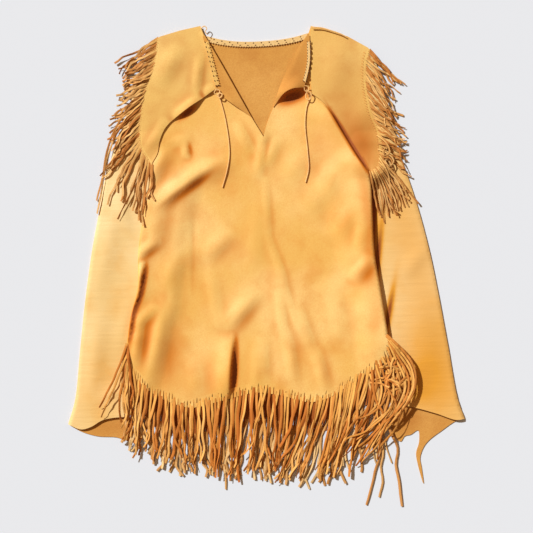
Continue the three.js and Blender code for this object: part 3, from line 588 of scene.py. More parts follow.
def leather(name, look):
    look = {**plainFinish, **look}
    base, light, deep = (tone(*look[part]) for part in ("base", "light", "deep"))
    made = bpy.data.materials.new(name)
    made.use_nodes = True
    graph = Graph(made.node_tree)
    shader = made.node_tree.nodes["Principled BSDF"]
    place = graph.add("ShaderNodeTexCoord", output="Object")

    def noise(scale, detail, where=place):
        return graph.add("ShaderNodeTexNoise", {}, {"Vector": where, "Scale": scale, "Detail": detail})

    def blend(share, first, second):
        return graph.add("ShaderNodeMix", {"data_type": "RGBA"}, {0: share, 6: first, 7: second}, output=2)

    def carried(fact):
        return graph.add("ShaderNodeAttribute", {"attribute_name": fact}, output="Fac")

    field = {part: noise(scale, detail) for part, (scale, detail, _, _) in grain.items()}
    mark = {part: graph.soft(field[part], low, high) for part, (_, _, low, high) in grain.items()}
    # the attribute read here carries real dye and painted shade
    dye = carried("dye")
    paint = blend(mark["cloud"], base, light)
    paint = blend(mark["patch"] * hideSurface["patchShare"], paint, deep)
    if "root" in look:  # a strand has its panel's colour where it is cut, and differs from its neighbours
        paint = blend(graph.soft(dye * -1.0, 0.0, 0.5), paint, light)
        paint = blend(graph.soft(carried("tip"), 0.05, 0.45), tone(*look["root"]), paint)
        # painted shade along the strand's cut sides
        paint = blend(graph.soft(carried("side"), 0.73, 0.98), paint, strandEdgeShade)
    # up to 1 the deep colour, for dye and for painted shade in folds; above 1 the painted shadow colour
    paint = blend(graph.add("ShaderNodeClamp", {}, {0: dye}), paint, deep)
    paint = blend(graph.add("ShaderNodeClamp", {}, {0: dye - 1.0}), paint, paintedShadow)
    paint = blend(mark["fibre"] * look["nap"], paint, deep)
    paint = blend(mark["dust"] * look["speck"] * 4, paint, deep)
    graph.tree.links.new(paint.socket, shader.inputs["Base Color"])
    roughness = look["rough"] + (field["cloud"] - 0.5) * hideSurface["roughDrift"]
    graph.tree.links.new(roughness.socket, shader.inputs["Roughness"])
    shader.inputs["Specular IOR Level"].default_value = hideSurface["glint"]
    stretch = (*look["stretch"], hideSurface["stretchZ"])
    drawn = graph.add("ShaderNodeMapping", {}, {"Vector": place, "Scale": stretch})
    height = noise(1.0, 3.0, drawn) * look["crinkle"] + field["fibre"] * hideSurface["fibreHeight"]
    height = height + field["dust"] * hideSurface["dustHeight"]
    relief = {"Strength": hideSurface["bumpStrength"], "Distance": hideSurface["bumpDepth"]}
    bump = graph.add("ShaderNodeBump", {}, {**relief, "Height": height}, output="Normal")
    graph.tree.links.new(bump.socket, shader.inputs["Normal"])
    return made


materials = {name: leather(name, look) for name, look in finishes.items()}
print("finishes ready:", len(materials))


# Sheets of hide
def meshOf(name, vertices, faces, smoothFaces=True):
    mesh = bpy.data.meshes.new(name)
    mesh.from_pydata([tuple(v) for v in vertices], [], [tuple(f) for f in faces])
    mesh.validate()
    mesh.polygons.foreach_set("use_smooth", [smoothFaces] * len(mesh.polygons))
    return mesh


def objectOf(name, mesh):
    made = bpy.data.objects.new(name, mesh)
    bpy.context.scene.collection.objects.link(made)
    return made


def sheetMesh(name, outline, low, cell, outside, inside, rolled=(), crests=()):
    # a closed sheet, hide thick: a net of small triangles in the outline, twice, with walls between
    apart = cell * 0.45  # how far the net keeps off the outline and the crests
    xs = np.arange(outline[:, 0].min(), outline[:, 0].max(), cell)
    ys = np.arange(outline[:, 1].min(), outline[:, 1].max(), cell * 0.866)  # rows of even triangles
    gridX, gridY = np.meshgrid(xs, ys)
    gridX = gridX + (np.arange(len(ys)) % 2)[:, None] * cell / 2
    gridX, gridY = gridX.ravel(), gridY.ravel()
    within = offOutline(outline, gridX, gridY) < -(rolled[-1] if rolled else 0) - apart
    for crest in crests:
        within &= np.abs(offLine(crest, gridX, gridY)) > apart
    points = np.vstack([outline, np.column_stack([gridX[within], gridY[within]]), *crests])
    for inwards in rolled:
        way = np.roll(outline, -1, axis=0) - np.roll(outline, 1, axis=0)
        way = way / np.linalg.norm(way, axis=1)[:, None]
        across = inwards * np.column_stack([-way[:, 1], way[:, 0]])
        for row in (outline + across, outline - across):
            points = np.vstack([points, row[offOutline(outline, row[:, 0], row[:, 1]) < -inwards * 0.9]])
    edges = [(i, (i + 1) % len(outline)) for i in range(len(outline))]
    made = geometry.delaunay_2d_cdt([Vector(p) for p in points], edges, [], 1, 1e-7)
    flat = np.array([tuple(p) for p in made[0]])
    net = np.array(made[2])
    a, b, c = flat[net[:, 0]], flat[net[:, 1]], flat[net[:, 2]]
    area = (b[:, 0] - a[:, 0]) * (c[:, 1] - a[:, 1]) - (b[:, 1] - a[:, 1]) * (c[:, 0] - a[:, 0])
    net[area < 0] = net[area < 0][:, ::-1]
    count = len(flat)
    bottom = low(flat[:, 0], flat[:, 1])
    under = np.column_stack([flat, bottom])
    over = np.column_stack([flat, bottom + hide])
    halves = np.vstack([net[:, [0, 1]], net[:, [1, 2]], net[:, [2, 0]]])
    seen = {tuple(h) for h in halves.tolist()}
    rimEdges = [h for h in seen if (h[1], h[0]) not in seen]
    walls = [(i, j, j + count, i + count) for i, j in rimEdges]
    faces = [tuple(f) for f in (net + count).tolist()] + [tuple(f[::-1]) for f in net.tolist()] + walls
    mesh = meshOf(name, np.vstack([under, over]), faces)
    mesh.materials.append(materials[outside])
    mesh.materials.append(materials[inside])
    mesh.polygons.foreach_set("material_index", [0] * len(net) + [1] * len(net) + [0] * len(walls))
    sharp = mesh.attributes.new("sharp_edge", "BOOLEAN", "EDGE")
    rimPairs = {frozenset(h) for h in rimEdges} | {frozenset((i + count, j + count)) for i, j in rimEdges}
    sharp.data.foreach_set("value", [frozenset(e.vertices) in rimPairs for e in mesh.edges])
    return mesh, float(np.abs(area).sum() / 2)


def hollow(rows, x, y):  # 0 to 1, how much a place lies lower than what is round it, where painted shade goes
    reach, turns = panels["hollowReach"], np.arange(8) * math.pi / 4
    about = sum(folds(rows, x + reach * math.cos(a), y + reach * math.sin(a)) for a in turns) / 8
    return np.clip((about - folds(rows, x, y)) / panels["hollowDepth"], 0, 1)


def stain(mesh, spots, rows=()):  # painted shade and dye as a value at each point. Each spot: x, y, radius across, radius along, turn, strength
    place = np.zeros(len(mesh.vertices) * 3)
    mesh.vertices.foreach_get("co", place)
    x, y = place[0::3], place[1::3]
    total = hollow(rows, x, y) + np.zeros(len(x))
    for spotX, spotY, across, along, turn, strength in spots:
        u, v = turned(x, y, spotX, spotY, turn)
        total += strength * np.exp(-((u / along) ** 2) - (v / across) ** 2)
    mesh.attributes.new("dye", "FLOAT", "POINT").data.foreach_set("value", total)


def joined(name, meshes):  # several meshes as one object
    parts = [objectOf(name + str(k), mesh) for k, mesh in enumerate(meshes)]
    bpy.ops.object.select_all(action="DESELECT")
    for part in parts:
        part.select_set(True)
    bpy.context.view_layer.objects.active = parts[0]
    if len(parts) > 1:
        bpy.ops.object.join()
    made = bpy.context.view_layer.objects.active
    made.name = name
    return made


def dress(made, nodes):
    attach(made, "root")
    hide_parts(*nodes)
    return made


# What each panel is dressed in, its net, and its places of painted shade and deeper dye
panels = {
    "cell": 0.0042,
    "rolled": (0.0012, 0.003),  # rows of points beside a rim
    "crestRows": (-0.0015, 0.0, 0.0017, 0.0034, 0.005),  # and beside the right yoke's free edge
    "hollowReach": 0.009,  # a place lower than what lies this far round it gets painted shade
    "hollowDepth": 0.0009,
    # painted shade on the folds' shaded sides, painted shadow under the lapel, along the yokes' edges,
    # beside the left side and in the deep hem fold, and some real dye
    "frontShadeAndDye": [
        # x, y, across, along, turn, strength
        (-0.176, 0.146, 0.006, 0.05, 38, 0.55),
        (-0.132, 0.172, 0.005, 0.036, 36, 0.7),
        (-0.1, 0.186, 0.012, 0.036, 26, 0.35),
        (-0.204, 0.2, 0.012, 0.034, 66, 0.5),
        (-0.154, 0.232, 0.004, 0.014, 96, 0.6),
        (-0.206, 0.08, 0.02, 0.05, 86, 0.35),
        (-0.23, 0.03, 0.007, 0.022, 36, 0.6),
        (-0.084, 0.03, 0.014, 0.03, 46, 0.3),
        (-0.245, -0.028, 0.006, 0.03, 79, 1.4),
        (-0.259, -0.078, 0.006, 0.03, 68, 1.4),
        (-0.27, -0.122, 0.005, 0.026, 80, 1.3),
        (-0.246, -0.15, 0.012, 0.05, 80, 0.5),
        (-0.196, -0.19, 0.022, 0.06, 80, 0.65),
        (-0.044, -0.106, 0.014, 0.04, 52, 0.45),
        (-0.065, -0.206, 0.008, 0.046, 88, 1.6),
        (-0.12, -0.23, 0.03, 0.05, 0, 0.25),
        (0.118, -0.214, 0.009, 0.03, 106, 0.4),
        (0.056, -0.19, 0.008, 0.05, 98, 0.3),
        (0.198, -0.014, 0.014, 0.026, 52, 0.65),
        (0.16, 0.092, 0.016, 0.036, 80, 0.4),
        (0.196, 0.15, 0.014, 0.07, 100, 0.55),
        (0.204, 0.04, 0.012, 0.07, 90, 0.45),
        (0.218, -0.1, 0.016, 0.06, 84, 0.35),
        (0.124, 0.24, 0.05, 0.06, 60, 0.28),
        (0.052, 0.338, 0.012, 0.028, 20, 2.6),
        (0.178, 0.227, 0.0036, 0.05, 122, 2.8),
        (0.142, 0.287, 0.003, 0.036, 122, 2.4),
        (-0.158, 0.307, 0.006, 0.02, 38, 2.6),
    ],
    # real orange tone towards the cuffs, and painted shade and shadow beside the body's edge
    "leftSleeveShadeAndDye": [(-0.33, -0.23, 0.06, 0.1, 80, 0.35), (-0.272, -0.13, 0.014, 0.1, 80, 0.2)],
    "rightSleeveShadeAndDye": [
        (0.33, -0.22, 0.09, 0.14, 100, 0.9), (0.285, 0.06, 0.06, 0.18, 105, 0.62),
        (0.214, 0.11, 0.007, 0.1, 90, 2.2), (0.222, 0.01, 0.006, 0.08, 84, 2.1),
        (0.243, -0.1, 0.006, 0.06, 80, 2.1), (0.3, -0.24, 0.03, 0.05, 70, 0.3),
    ],
    # painted shade on the right lapel, darkening its slope that faces the light
    "lapelShade": [(0.055, 0.38, 0.03, 0.06, 60, 0.4), (-0.075, 0.38, 0.02, 0.06, 120, -0.1)],
    # painted shade on the under cuffs, below the upper layer's edge and the right fringe's bunch
    "cuffShade": [(-0.3, -0.32, 0.02, 0.06, 10, 0.4), (0.28, -0.3, 0.03, 0.03, 0, 0.65)],
    # painted shadow along the right yoke's free edge and by the left yoke's pocket; darker towards the right
    # yoke's lower end and in a few broad patches
    "yokeShadeAndDye": [
        (0.188, 0.24, 0.04, 0.07, 110, 1.0), (0.15, 0.36, 0.05, 0.1, 100, 0.25),
        (0.179, 0.228, 0.0026, 0.05, 122, 3.0), (0.144, 0.287, 0.0022, 0.034, 122, 2.6),
        (-0.23, 0.24, 0.014, 0.05, 80, 0.35), (-0.15, 0.322, 0.006, 0.03, 38, 0.3),
    ],
}

areas, sheets = {}, {}


def onFloor(x, y):
    return 0 * x


def buildSheet(name, key, low, outside, inside, node, spots=(), rows=(), crests=()):
    mesh, areas[key] = sheetMesh(
        name, outlines[key], low, panels["cell"], outside, inside, panels["rolled"], crests
    )
    stain(mesh, spots, rows)
    sheets[key] = dress(objectOf(name, mesh), [node])


yokeFree = smooth(yokes["right"]["free"])[:-4]
buildSheet(
    "frontSheet", "front", frontLow, "frontGrain", "suede", "front", panels["frontShadeAndDye"],
    body["folds"], [beside(yokeFree, shift)[1:] for shift in panels["crestRows"]],
)
buildSheet("backSheet", "back", backLow, "suede", "frontGrain", "back")
for side in bothSides:
    buildSheet(
        "yokeSheet" + side.title(), ("yoke", side), yokeLow, "yokeGrain", "suede", "yoke_" + side,
        panels["yokeShadeAndDye"], yokes["folds"],
    )
    buildSheet(
        "lapelSheet" + side.title(), ("lapel", side), lapelLow, "suede", "frontGrain", "lapel_" + side,
        panels["lapelShade"],
    )
    under, underArea = sheetMesh(
        "under", outlines["sleeveUnder", side], onFloor, panels["cell"], "suede", "sleeveGrain"
    )
    upper, upperArea = sheetMesh(
        "upper", outlines["sleeveTop", side], sleeveLow, panels["cell"], "sleeveGrain", "suede"
    )
    stain(under, panels["cuffShade"])
    stain(upper, panels[side + "SleeveShadeAndDye"])
    tube = joined("sleeveTube" + side.title(), [upper, under])
    sheets["sleeve", side] = dress(tube, ["sleeve_" + side])
    areas["sleeve", side] = upperArea + underArea
print("sheets made:", len(sheets))


# Geometry Nodes: cut thongs that hang from an edge or follow drawn lines
strand = {
    "corners": 8,  # of its section
    "points": 20,  # along a hanging one
    "drawnPoints": 26,  # along a drawn one
    "apart": 7.3,  # how far neighbours lie apart in the noise that bends them
    "gain": 2.6,  # what brings that noise to -1 and 1
    "leanFrom": (0.03, 0.2),  # shares of its length between which it comes to lean
    "riseFrom": (0.02, 0.3),  # and between which it rises from its panel
    "taper": 0.25,  # how much narrower it is at its tip
    "waver": 0.16,  # how much its width changes on the way
    "bedded": 0.0011,  # how high its middle lies
    "beddedFrom": 0.06,  # this far down from the edge
    "onEdge": 0.45,  # the share of its width that a tilted one is raised by
    "pileShares": (0.35, 0.65),  # how much of its rise comes and goes on the way, and how much stays
}
waves = {
    # how fast each wave goes along a strand, and what is added to the fringe's seed for it
    "bend": (2.2, 0),
    "drawnX": (3.0, 0),
    "drawnY": (3.0, 23),
    "width": (5.0, 5),
    "pile": (3.5, 19),
    "twist": (3.0, 41),
    "lean": (0.0, 63),
    "broad": (0.0, 77),
}


def newTree(name, inputs):
    tree = bpy.data.node_groups.new(name, "GeometryNodeTree")
    tree.interface.new_socket("Geometry", in_out="INPUT", socket_type="NodeSocketGeometry")
    for label, kind, value in inputs:
        socket = tree.interface.new_socket(label, in_out="INPUT", socket_type="NodeSocket" + kind)
        if value is not None:
            socket.default_value = value
    tree.interface.new_socket("Geometry", in_out="OUTPUT", socket_type="NodeSocketGeometry")
    graph = Graph(tree)
    return graph, graph.add("NodeGroupInput", output="Geometry")


def drift(graph, entry, share, name):  # from -1 to 1, a slow wave along each strand
    pace, salt = waves[name]
    number = graph.fact("number") * strand["apart"]
    where = graph.vector(share * pace, number + (entry.at("Seed") + salt))
    wave = graph.add(
        "ShaderNodeTexNoise", {"noise_dimensions": "2D"}, {"Vector": where, "Scale": 1.0, "Detail": 1.0}
    )
    return (wave - 0.5) * strand["gain"]


def tiltOf(graph, entry, share):  # each strand leans to one side, and twists towards its tip
    lean = drift(graph, entry, share, "lean") * entry.at("Lean")
    twist = drift(graph, entry, share, "twist") * entry.at("Curl") * share
    return lean * graph.soft(share, *strand["leanFrom"]) + twist


def thongs(graph, lines, entry, share):  # flat cut thongs along lines that are in place
    lines = graph.add("GeometryNodeSetCurveNormal", {"mode": "Z_UP"}, {"Curve": lines})
    tilt = tiltOf(graph, entry, share)
    lines = graph.add("GeometryNodeSetCurveTilt", {}, {"Curve": lines, "Tilt": tilt})
    section = {"Resolution": strand["corners"], "Radius": 0.5}
    ring = graph.add("GeometryNodeCurvePrimitiveCircle", {}, section)
    spot = graph.parts(graph.add("GeometryNodeInputPosition"))
    # side: 1 at the section's edges, where painted shade goes on
    ring = graph.store(ring, "side", graph.maths("ABSOLUTE", spot.at("X") * 2.0))
    flattened = graph.vector(spot.at("X") * entry.at("Width"), spot.at("Y") * entry.at("Thickness"))
    ring = graph.add("GeometryNodeSetPosition", {}, {"Geometry": ring, "Position": flattened})
    broad = drift(graph, entry, share, "broad") * entry.at("Uneven")
    waver = drift(graph, entry, share, "width") * strand["waver"]
    width = 1 - strand["taper"] * share + waver + broad
    lines = graph.store(lines, "tip", share)
    tube = graph.add(
        "GeometryNodeCurveToMesh", {},
        {"Curve": lines, "Profile Curve": ring, "Scale": width, "Fill Caps": True},
    )
    tube = graph.add("GeometryNodeSetShadeSmooth", {}, {"Geometry": tube, "Shade Smooth": False})
    finished(graph, tube, entry)


def finished(graph, made, entry):
    made = graph.add("GeometryNodeRealizeInstances", {}, {"Geometry": made})
    made = graph.add("GeometryNodeSetMaterial", {}, {"Geometry": made, "Material": entry.at("Leather")})
    graph.add("NodeGroupOutput", {}, {"Geometry": made})


thongInputs = [
    ("Width", "Float", 0.0045), ("Thickness", "Float", 0.0013), ("Curl", "Float", 0.8),
    ("Lean", "Float", 0.0), ("Wander", "Float", 0.006), ("Uneven", "Float", 0.3), ("Seed", "Int", 1),
    ("Leather", "Material", None),
]


def edgeFringeTree():  # strands from an edge that carries heading, turn and reach at each point
    graph, entry = newTree("edgeFringe", thongInputs + [
        ("Ground", "Object", None), ("Strands", "Int", 60), ("Spread", "Float", 0.1),
        ("Ragged", "Float", 0.08), ("Begin", "Float", 0.002), ("Stagger", "Float", 0.002),
        ("Pile", "Float", 0.004),
    ])
    edge = graph.add("GeometryNodeMeshToCurve", {}, {"Mesh": entry})
    points = graph.add("GeometryNodeCurveToPoints", {}, {"Curve": edge, "Count": entry.at("Strands")})
    index = graph.add("GeometryNodeInputIndex")
    place = graph.parts(graph.add("GeometryNodeInputPosition"))

    def chance(low, high, salt):
        return graph.add(
            "FunctionNodeRandomValue", {"data_type": "FLOAT"},
            {2: low, 3: high, "ID": index, "Seed": entry.at("Seed") + salt}, output=1,
        )

    spread = entry.at("Spread")
    facts = {
        "rootX": place.at("X"), "rootY": place.at("Y"), "number": index + 0.0,
        "aim": graph.fact("heading") + chance(-1.0, 1.0, 1) * spread,
        "bend": graph.fact("turn") + chance(-1.0, 1.0, 2) * spread * 1.5,
        "strandLength": graph.fact("reach") * (1 + chance(-1.0, 0.6, 3) * entry.at("Ragged")),
        "start": entry.at("Begin") + chance(0.0, 1.0, 4) * entry.at("Stagger"),
        "pile": chance(0.0, 1.0, 5) * entry.at("Pile"),
        # a random tone for each strand; near its top it takes in a little painted shadow
        "dye": chance(-0.6, 1.1, 6),
    }
    for name, value in facts.items():
        points = graph.store(points, name, value)
    ruler = graph.add("GeometryNodeCurvePrimitiveLine", {}, {"Start": (0, 0, 0), "End": (1, 0, 0)})
    ruler = graph.add("GeometryNodeResampleCurve", {}, {"Curve": ruler, "Count": strand["points"]})
    rows = graph.add("GeometryNodeInstanceOnPoints", {}, {"Points": points, "Instance": ruler})
    rows = graph.add("GeometryNodeRealizeInstances", {}, {"Geometry": rows})
    share = graph.add("GeometryNodeSplineParameter", output="Factor")
    heading = graph.fact("aim") + graph.fact("bend") * share * 0.5
    away = graph.fact("start") + share * graph.fact("strandLength")
    aside = drift(graph, entry, share, "bend") * entry.at("Wander") * share
    cosine, sine = graph.maths("COSINE", heading), graph.maths("SINE", heading)
    x = graph.fact("rootX") + away * cosine - aside * sine
    y = graph.fact("rootY") + away * sine + aside * cosine
    ground = graph.add("GeometryNodeObjectInfo", {}, {"Object": entry.at("Ground")}, output="Geometry")
    found = graph.add(
        "GeometryNodeRaycast", {},
        {"Target Geometry": ground, "Source Position": graph.vector(x, y, 0.2),
         "Ray Direction": (0, 0, -1), "Ray Length": 1.0}, output="Hit Position",
    )
    low, high = strand["pileShares"]
    wave = (drift(graph, entry, share, "pile") * low + high) * graph.fact("pile")
    emerge = graph.soft(away, 0.0, strand["beddedFrom"], hide / 2, strand["bedded"])
    tilted = graph.maths("MINIMUM", graph.maths("ABSOLUTE", tiltOf(graph, entry, share)), 1.0)
    raised = tilted * entry.at("Width") * strand["onEdge"]
    z = graph.parts(found).at("Z") + emerge + raised + graph.soft(share, *strand["riseFrom"]) * wave
    rows = graph.add("GeometryNodeSetPosition", {}, {"Geometry": rows, "Position": graph.vector(x, y, z)})
    thongs(graph, rows, entry, share)
    return graph.tree


def drawnThongTree():  # thongs along drawn lines, one for each separate line
    graph, entry = newTree("drawnThongs", thongInputs)
    lines = graph.add("GeometryNodeMeshToCurve", {}, {"Mesh": entry})
    lines = graph.add("GeometryNodeResampleCurve", {}, {"Curve": lines, "Count": strand["drawnPoints"]})
    share = graph.add("GeometryNodeSplineParameter", output="Factor")
    x, y = (drift(graph, entry, share, name) * entry.at("Wander") * share for name in ("drawnX", "drawnY"))
    lines = graph.add("GeometryNodeSetPosition", {}, {"Geometry": lines, "Offset": graph.vector(x, y)})
    thongs(graph, lines, entry, share)
    return graph.tree


def runTree(name, mesh, tree, values):  # the tree's result as a plain mesh
    carrier = objectOf(name, mesh)
    modifier = carrier.modifiers.new("nodes", "NODES")
    modifier.node_group = tree
    for item in tree.interface.items_tree:
        if item.in_out == "INPUT" and item.name in values:
            modifier[item.identifier] = values[item.name]
    carrier.update_tag()
    bpy.context.view_layer.update()
    result = bpy.data.meshes.new_from_object(carrier.evaluated_get(bpy.context.evaluated_depsgraph_get()))
    carrier.modifiers.clear()
    bpy.data.objects.remove(carrier)
    return result


def lineMesh(name, lines, facts=None):  # open lines as edges, with values at their points
    lines = [np.array(line, float) for line in lines]
    starts = np.cumsum([0] + [len(line) for line in lines])
    edges = [(s + i, s + i + 1) for s, line in zip(starts, lines) for i in range(len(line) - 1)]
    mesh = bpy.data.meshes.new(name)
    mesh.from_pydata([tuple(p) for p in np.vstack(lines)], edges, [])
    for key, value in (facts or {}).items():
        mesh.attributes.new(key, "FLOAT", "POINT").data.foreach_set("value", np.ravel(value))
    return mesh


def rowTree():  # the same small bead again and again along a line
    graph, entry = newTree("beadRow", [
        ("Pitch", "Float", 0.01), ("Size", "Vector", (0.002, 0.002, 0.001)), ("Turn", "Float", 0.0),
        ("Leather", "Material", None),
    ])
    line = graph.add("GeometryNodeMeshToCurve", {}, {"Mesh": entry})
    spacing = {"Curve": line, "Length": entry.at("Pitch")}
    points = graph.add("GeometryNodeCurveToPoints", {"mode": "LENGTH"}, spacing)
    way = graph.add(
        "ShaderNodeVectorRotate", {"rotation_type": "Z_AXIS"},
        {"Vector": points.at("Tangent"), "Angle": entry.at("Turn")},
    )
    faced = graph.add("FunctionNodeAlignRotationToVector", {"axis": "X"}, {"Vector": way})
    bead = graph.add("GeometryNodeMeshUVSphere", {}, {"Segments": 8, "Rings": 5, "Radius": 0.5})
    bead = graph.add("GeometryNodeSetShadeSmooth", {}, {"Geometry": bead, "Shade Smooth": True})
    row = graph.add(
        "GeometryNodeInstanceOnPoints", {},
        {"Points": points, "Instance": bead, "Rotation": faced, "Scale": entry.at("Size")},
    )
    finished(graph, row, entry)
    return graph.tree


edgeFringe, drawnThongs, beadRow = edgeFringeTree(), drawnThongTree(), rowTree()


def rowMesh(line, height, pitch, size, turn, finish):
    path = np.column_stack([line, height])
    return runTree("row", lineMesh("row", [path]), beadRow, {
        "Pitch": pitch, "Size": size, "Turn": turn, "Leather": materials[finish],
    })


# What all four fringes share
fringes = {
    "stripCell": 0.004,
    "beyond": 0.03,  # how far past its strip a fringe comes down, and the net past its strands
    "ripple": (530, 97),  # waves in a metre that set neighbouring teeth apart, and that unsettle them
    "rippleFrom": (0.002, 0.02),
    "off": 0.0016,  # how far the middle of a drawn strand stays above what it lies on
    "wander": 0.004,
    "narrow": 0.85,  # its width beside that of the others
    "arch": 0.6,  # below 1, so that a drawn strand rises early and stays up
    "throatWidth": 0.7,  # how wide a slit still is where it narrows, beside its mouth
    "lowest": 0.008,  # a drawn strand that rises less than this can get painted shade
    "clear": 0.0008,  # between a panel and the strands that lie on it
    "offFloor": 0.0004,
    "offBack": 0.0035,  # the front hem's strands lie on the back hem's
    "besideSleeve": (0.002, 0.012),  # how far past a sleeve its height is felt, and how far it fades
    "besideFront": (0.0, 0.01),
    "dyeWave": (0.6, 2.4, 0.2),  # how far the dye of drawn strands goes, how fast, and its middle
}


def groundObject(low, x0, x1, y0, y1, cell=0.008):  # a net that strands are let down on
    xs, ys = np.arange(x0, x1, cell), np.arange(y0, y1, cell)
    x, y = np.meshgrid(xs, ys)
    z = low(x, y)
    across = len(xs)
    faces = [
        (j * across + i, j * across + i + 1, (j + 1) * across + i + 1, (j + 1) * across + i)
        for j in range(len(ys) - 1) for i in range(across - 1)
    ]
    return objectOf("ground", meshOf("ground", np.column_stack([x.ravel(), y.ravel(), z.ravel()]), faces))


def overSleeves(x, y):
    top = sleeveRise(x, y) + hide + fringes["clear"]
    level = np.full(np.shape(x), fringes["offFloor"])
    for side in bothSides:
        for cuff in ("sleeveTop", "sleeveUnder"):
            near = cover(outlines[cuff, side], x, y, *fringes["besideSleeve"])
            level = np.maximum(level, near * top)
    return level


def letDown(edge, low, beyond, clear, ramp):  # from a panel's height to what lies beyond
    def height(x, y):
        away = np.abs(offLine(edge[::3], x, y))
        return low(x, y) * (1 - ease(away, clear, ramp)) + beyond(x, y) * ease(away, clear, ramp)
    return height


# Fringes. Rows: share of the edge, length, heading at the root, turn to the tip.
# Comb, the strip that they are cut from: how far down it goes, where the slits start, how wide they
# end, how far down they stay narrow, how far its teeth rise and fall, its finish, its dye and painted
# shade, and rows of stitches with how far in, pitch, size, turn and finish of each.
# Drawn, strands apart from the rows: how high each rises, then x and y of its points.
hemFrontFringe = {
    "finish": "hemLeather",
    "rows": [
        (0, 0.142, -97, 4), (0.06, 0.148, -91, 2), (0.16, 0.133, -92, -4), (0.26, 0.12, -93, 2),
        (0.38, 0.136, -90, 4), (0.46, 0.17, -92, -4), (0.56, 0.162, -94, -8), (0.66, 0.166, -98, -10),
        (0.76, 0.176, -98, -12), (0.86, 0.2, -98, -16), (0.93, 0.204, -88, -46), (0.97, 0.2, -66, -76),
        (1, 0.2, -54, -88),
    ],
    "comb": {"long": 0.02, "tops": (-0.0002, 0.013), "slit": 0.0022, "throat": 0.2, "seed": 7,
             "ripple": 0.001, "finish": "frontGrain", "dye": panels["frontShadeAndDye"], "stitches": []},
    "strands": {"Strands": 102, "Width": 0.0056, "Thickness": 0.0014, "Wander": 0.013, "Lean": 0.9,
                "Curl": 1.5, "Spread": 0.15, "Uneven": 0.4, "Ragged": 0.14, "Begin": 0.003,
                "Stagger": 0.014, "Pile": 0.008, "Seed": 3},
    "shadeWhenLow": 1.4,  # how much painted shade a drawn strand gets that lies low in the bunch
    "drawn": [
        (0.007, -0.279, -0.158, -0.296, -0.206, -0.333, -0.279),
        (0.007, -0.277, -0.174, -0.297, -0.224, -0.331, -0.302),
        # the bunch that swings round the right corner
        (0.01, 0.239, -0.136, 0.272, -0.168, 0.291, -0.196, 0.298, -0.224, 0.291, -0.254, 0.232, -0.332),
        (0.009, 0.241, -0.14, 0.268, -0.172, 0.287, -0.2, 0.293, -0.228, 0.286, -0.256, 0.216, -0.35),
        (0.008, 0.242, -0.144, 0.266, -0.178, 0.284, -0.206, 0.29, -0.232, 0.282, -0.26, 0.206, -0.366),
        (0.01, 0.243, -0.148, 0.262, -0.182, 0.278, -0.21, 0.283, -0.236, 0.274, -0.264, 0.19, -0.36),
        (0.008, 0.243, -0.152, 0.258, -0.186, 0.272, -0.214, 0.276, -0.24, 0.264, -0.27, 0.196, -0.38),
        (0.009, 0.24, -0.16, 0.254, -0.196, 0.264, -0.222, 0.264, -0.25, 0.25, -0.28, 0.184, -0.39),
        (0.007, 0.238, -0.138, 0.262, -0.16, 0.284, -0.184, 0.294, -0.212, 0.296, -0.24, 0.262, -0.3),
        (0.008, 0.23, -0.18, 0.252, -0.232, 0.244, -0.282, 0.206, -0.318, 0.17, -0.372),
        (0.009, 0.226, -0.186, 0.24, -0.24, 0.258, -0.276, 0.23, -0.33, 0.222, -0.384),
        (0.007, 0.218, -0.196, 0.23, -0.246, 0.22, -0.292, 0.226, -0.34, 0.188, -0.392),
        (0.009, 0.236, -0.236, 0.25, -0.256, 0.24, -0.29, 0.194, -0.33, 0.158, -0.344, 0.142, -0.388),
        (0.007, 0.21, -0.206, 0.216, -0.262, 0.234, -0.302, 0.206, -0.352, 0.178, -0.398),
        (0.006, 0.206, -0.214, 0.222, -0.27, 0.2, -0.3, 0.176, -0.34, 0.168, -0.392),
        (0.008, 0.244, -0.246, 0.228, -0.276, 0.204, -0.296, 0.176, -0.306, 0.15, -0.35),
    ],
    # the tangle inside it: how many curls, their middle, spread, radii, arcs in degrees, rise and seed
    "tangle": {"curls": 34, "middle": (0.252, -0.222), "spread": (0.032, 0.044), "radius": (0.012, 0.04),
               "arc": (50, 110), "rise": (0.004, 0.011), "seed": 5},
}
hemBackFringe = {
    "finish": "paleStrand",
    "drawnFinish": "yokeStrand",
    "rows": [
        (0, 0.082, -90, 2), (0.3, 0.084, -89, 3), (0.5, 0.12, -93, 0), (0.7, 0.115, -97, -4),
        (0.9, 0.134, -98, -6), (1, 0.13, -92, -6),
    ],
    # the strip is painted dark all over: painted shade seen through the gaps between the front hem's strands
    "comb": {"long": 0.075, "tops": (0.036, 0.065), "slit": 0.003, "throat": 0.4, "seed": 9,
             "ripple": 0, "finish": "suede", "dye": [(0.0, -0.26, 1.0, 1.0, 0, 1.8)], "stitches": []},
    "strands": {"Strands": 90, "Width": 0.006, "Thickness": 0.0014, "Wander": 0.014, "Lean": 0.6,
                "Curl": 0.8, "Spread": 0.14, "Uneven": 0.3, "Ragged": 0.1, "Begin": 0.06,
                "Pile": 0.003, "Seed": 11},
    "drawn": [
        (0.001, 0.221, -0.196, 0.246, -0.326, 0.262, -0.364, 0.258, -0.396, 0.266, -0.432, 0.273, -0.478),
        (0.001, 0.216, -0.198, 0.236, -0.34, 0.24, -0.364, 0.25, -0.392),
        (0.001, 0.211, -0.2, 0.228, -0.372, 0.216, -0.406, 0.212, -0.43, 0.199, -0.477),
        (0.001, 0.2, -0.211, 0.234, -0.37, 0.228, -0.4, 0.23, -0.428, 0.225, -0.459),
        (0.001, -0.076, -0.261, -0.08, -0.39, -0.083, -0.447),
    ],
}
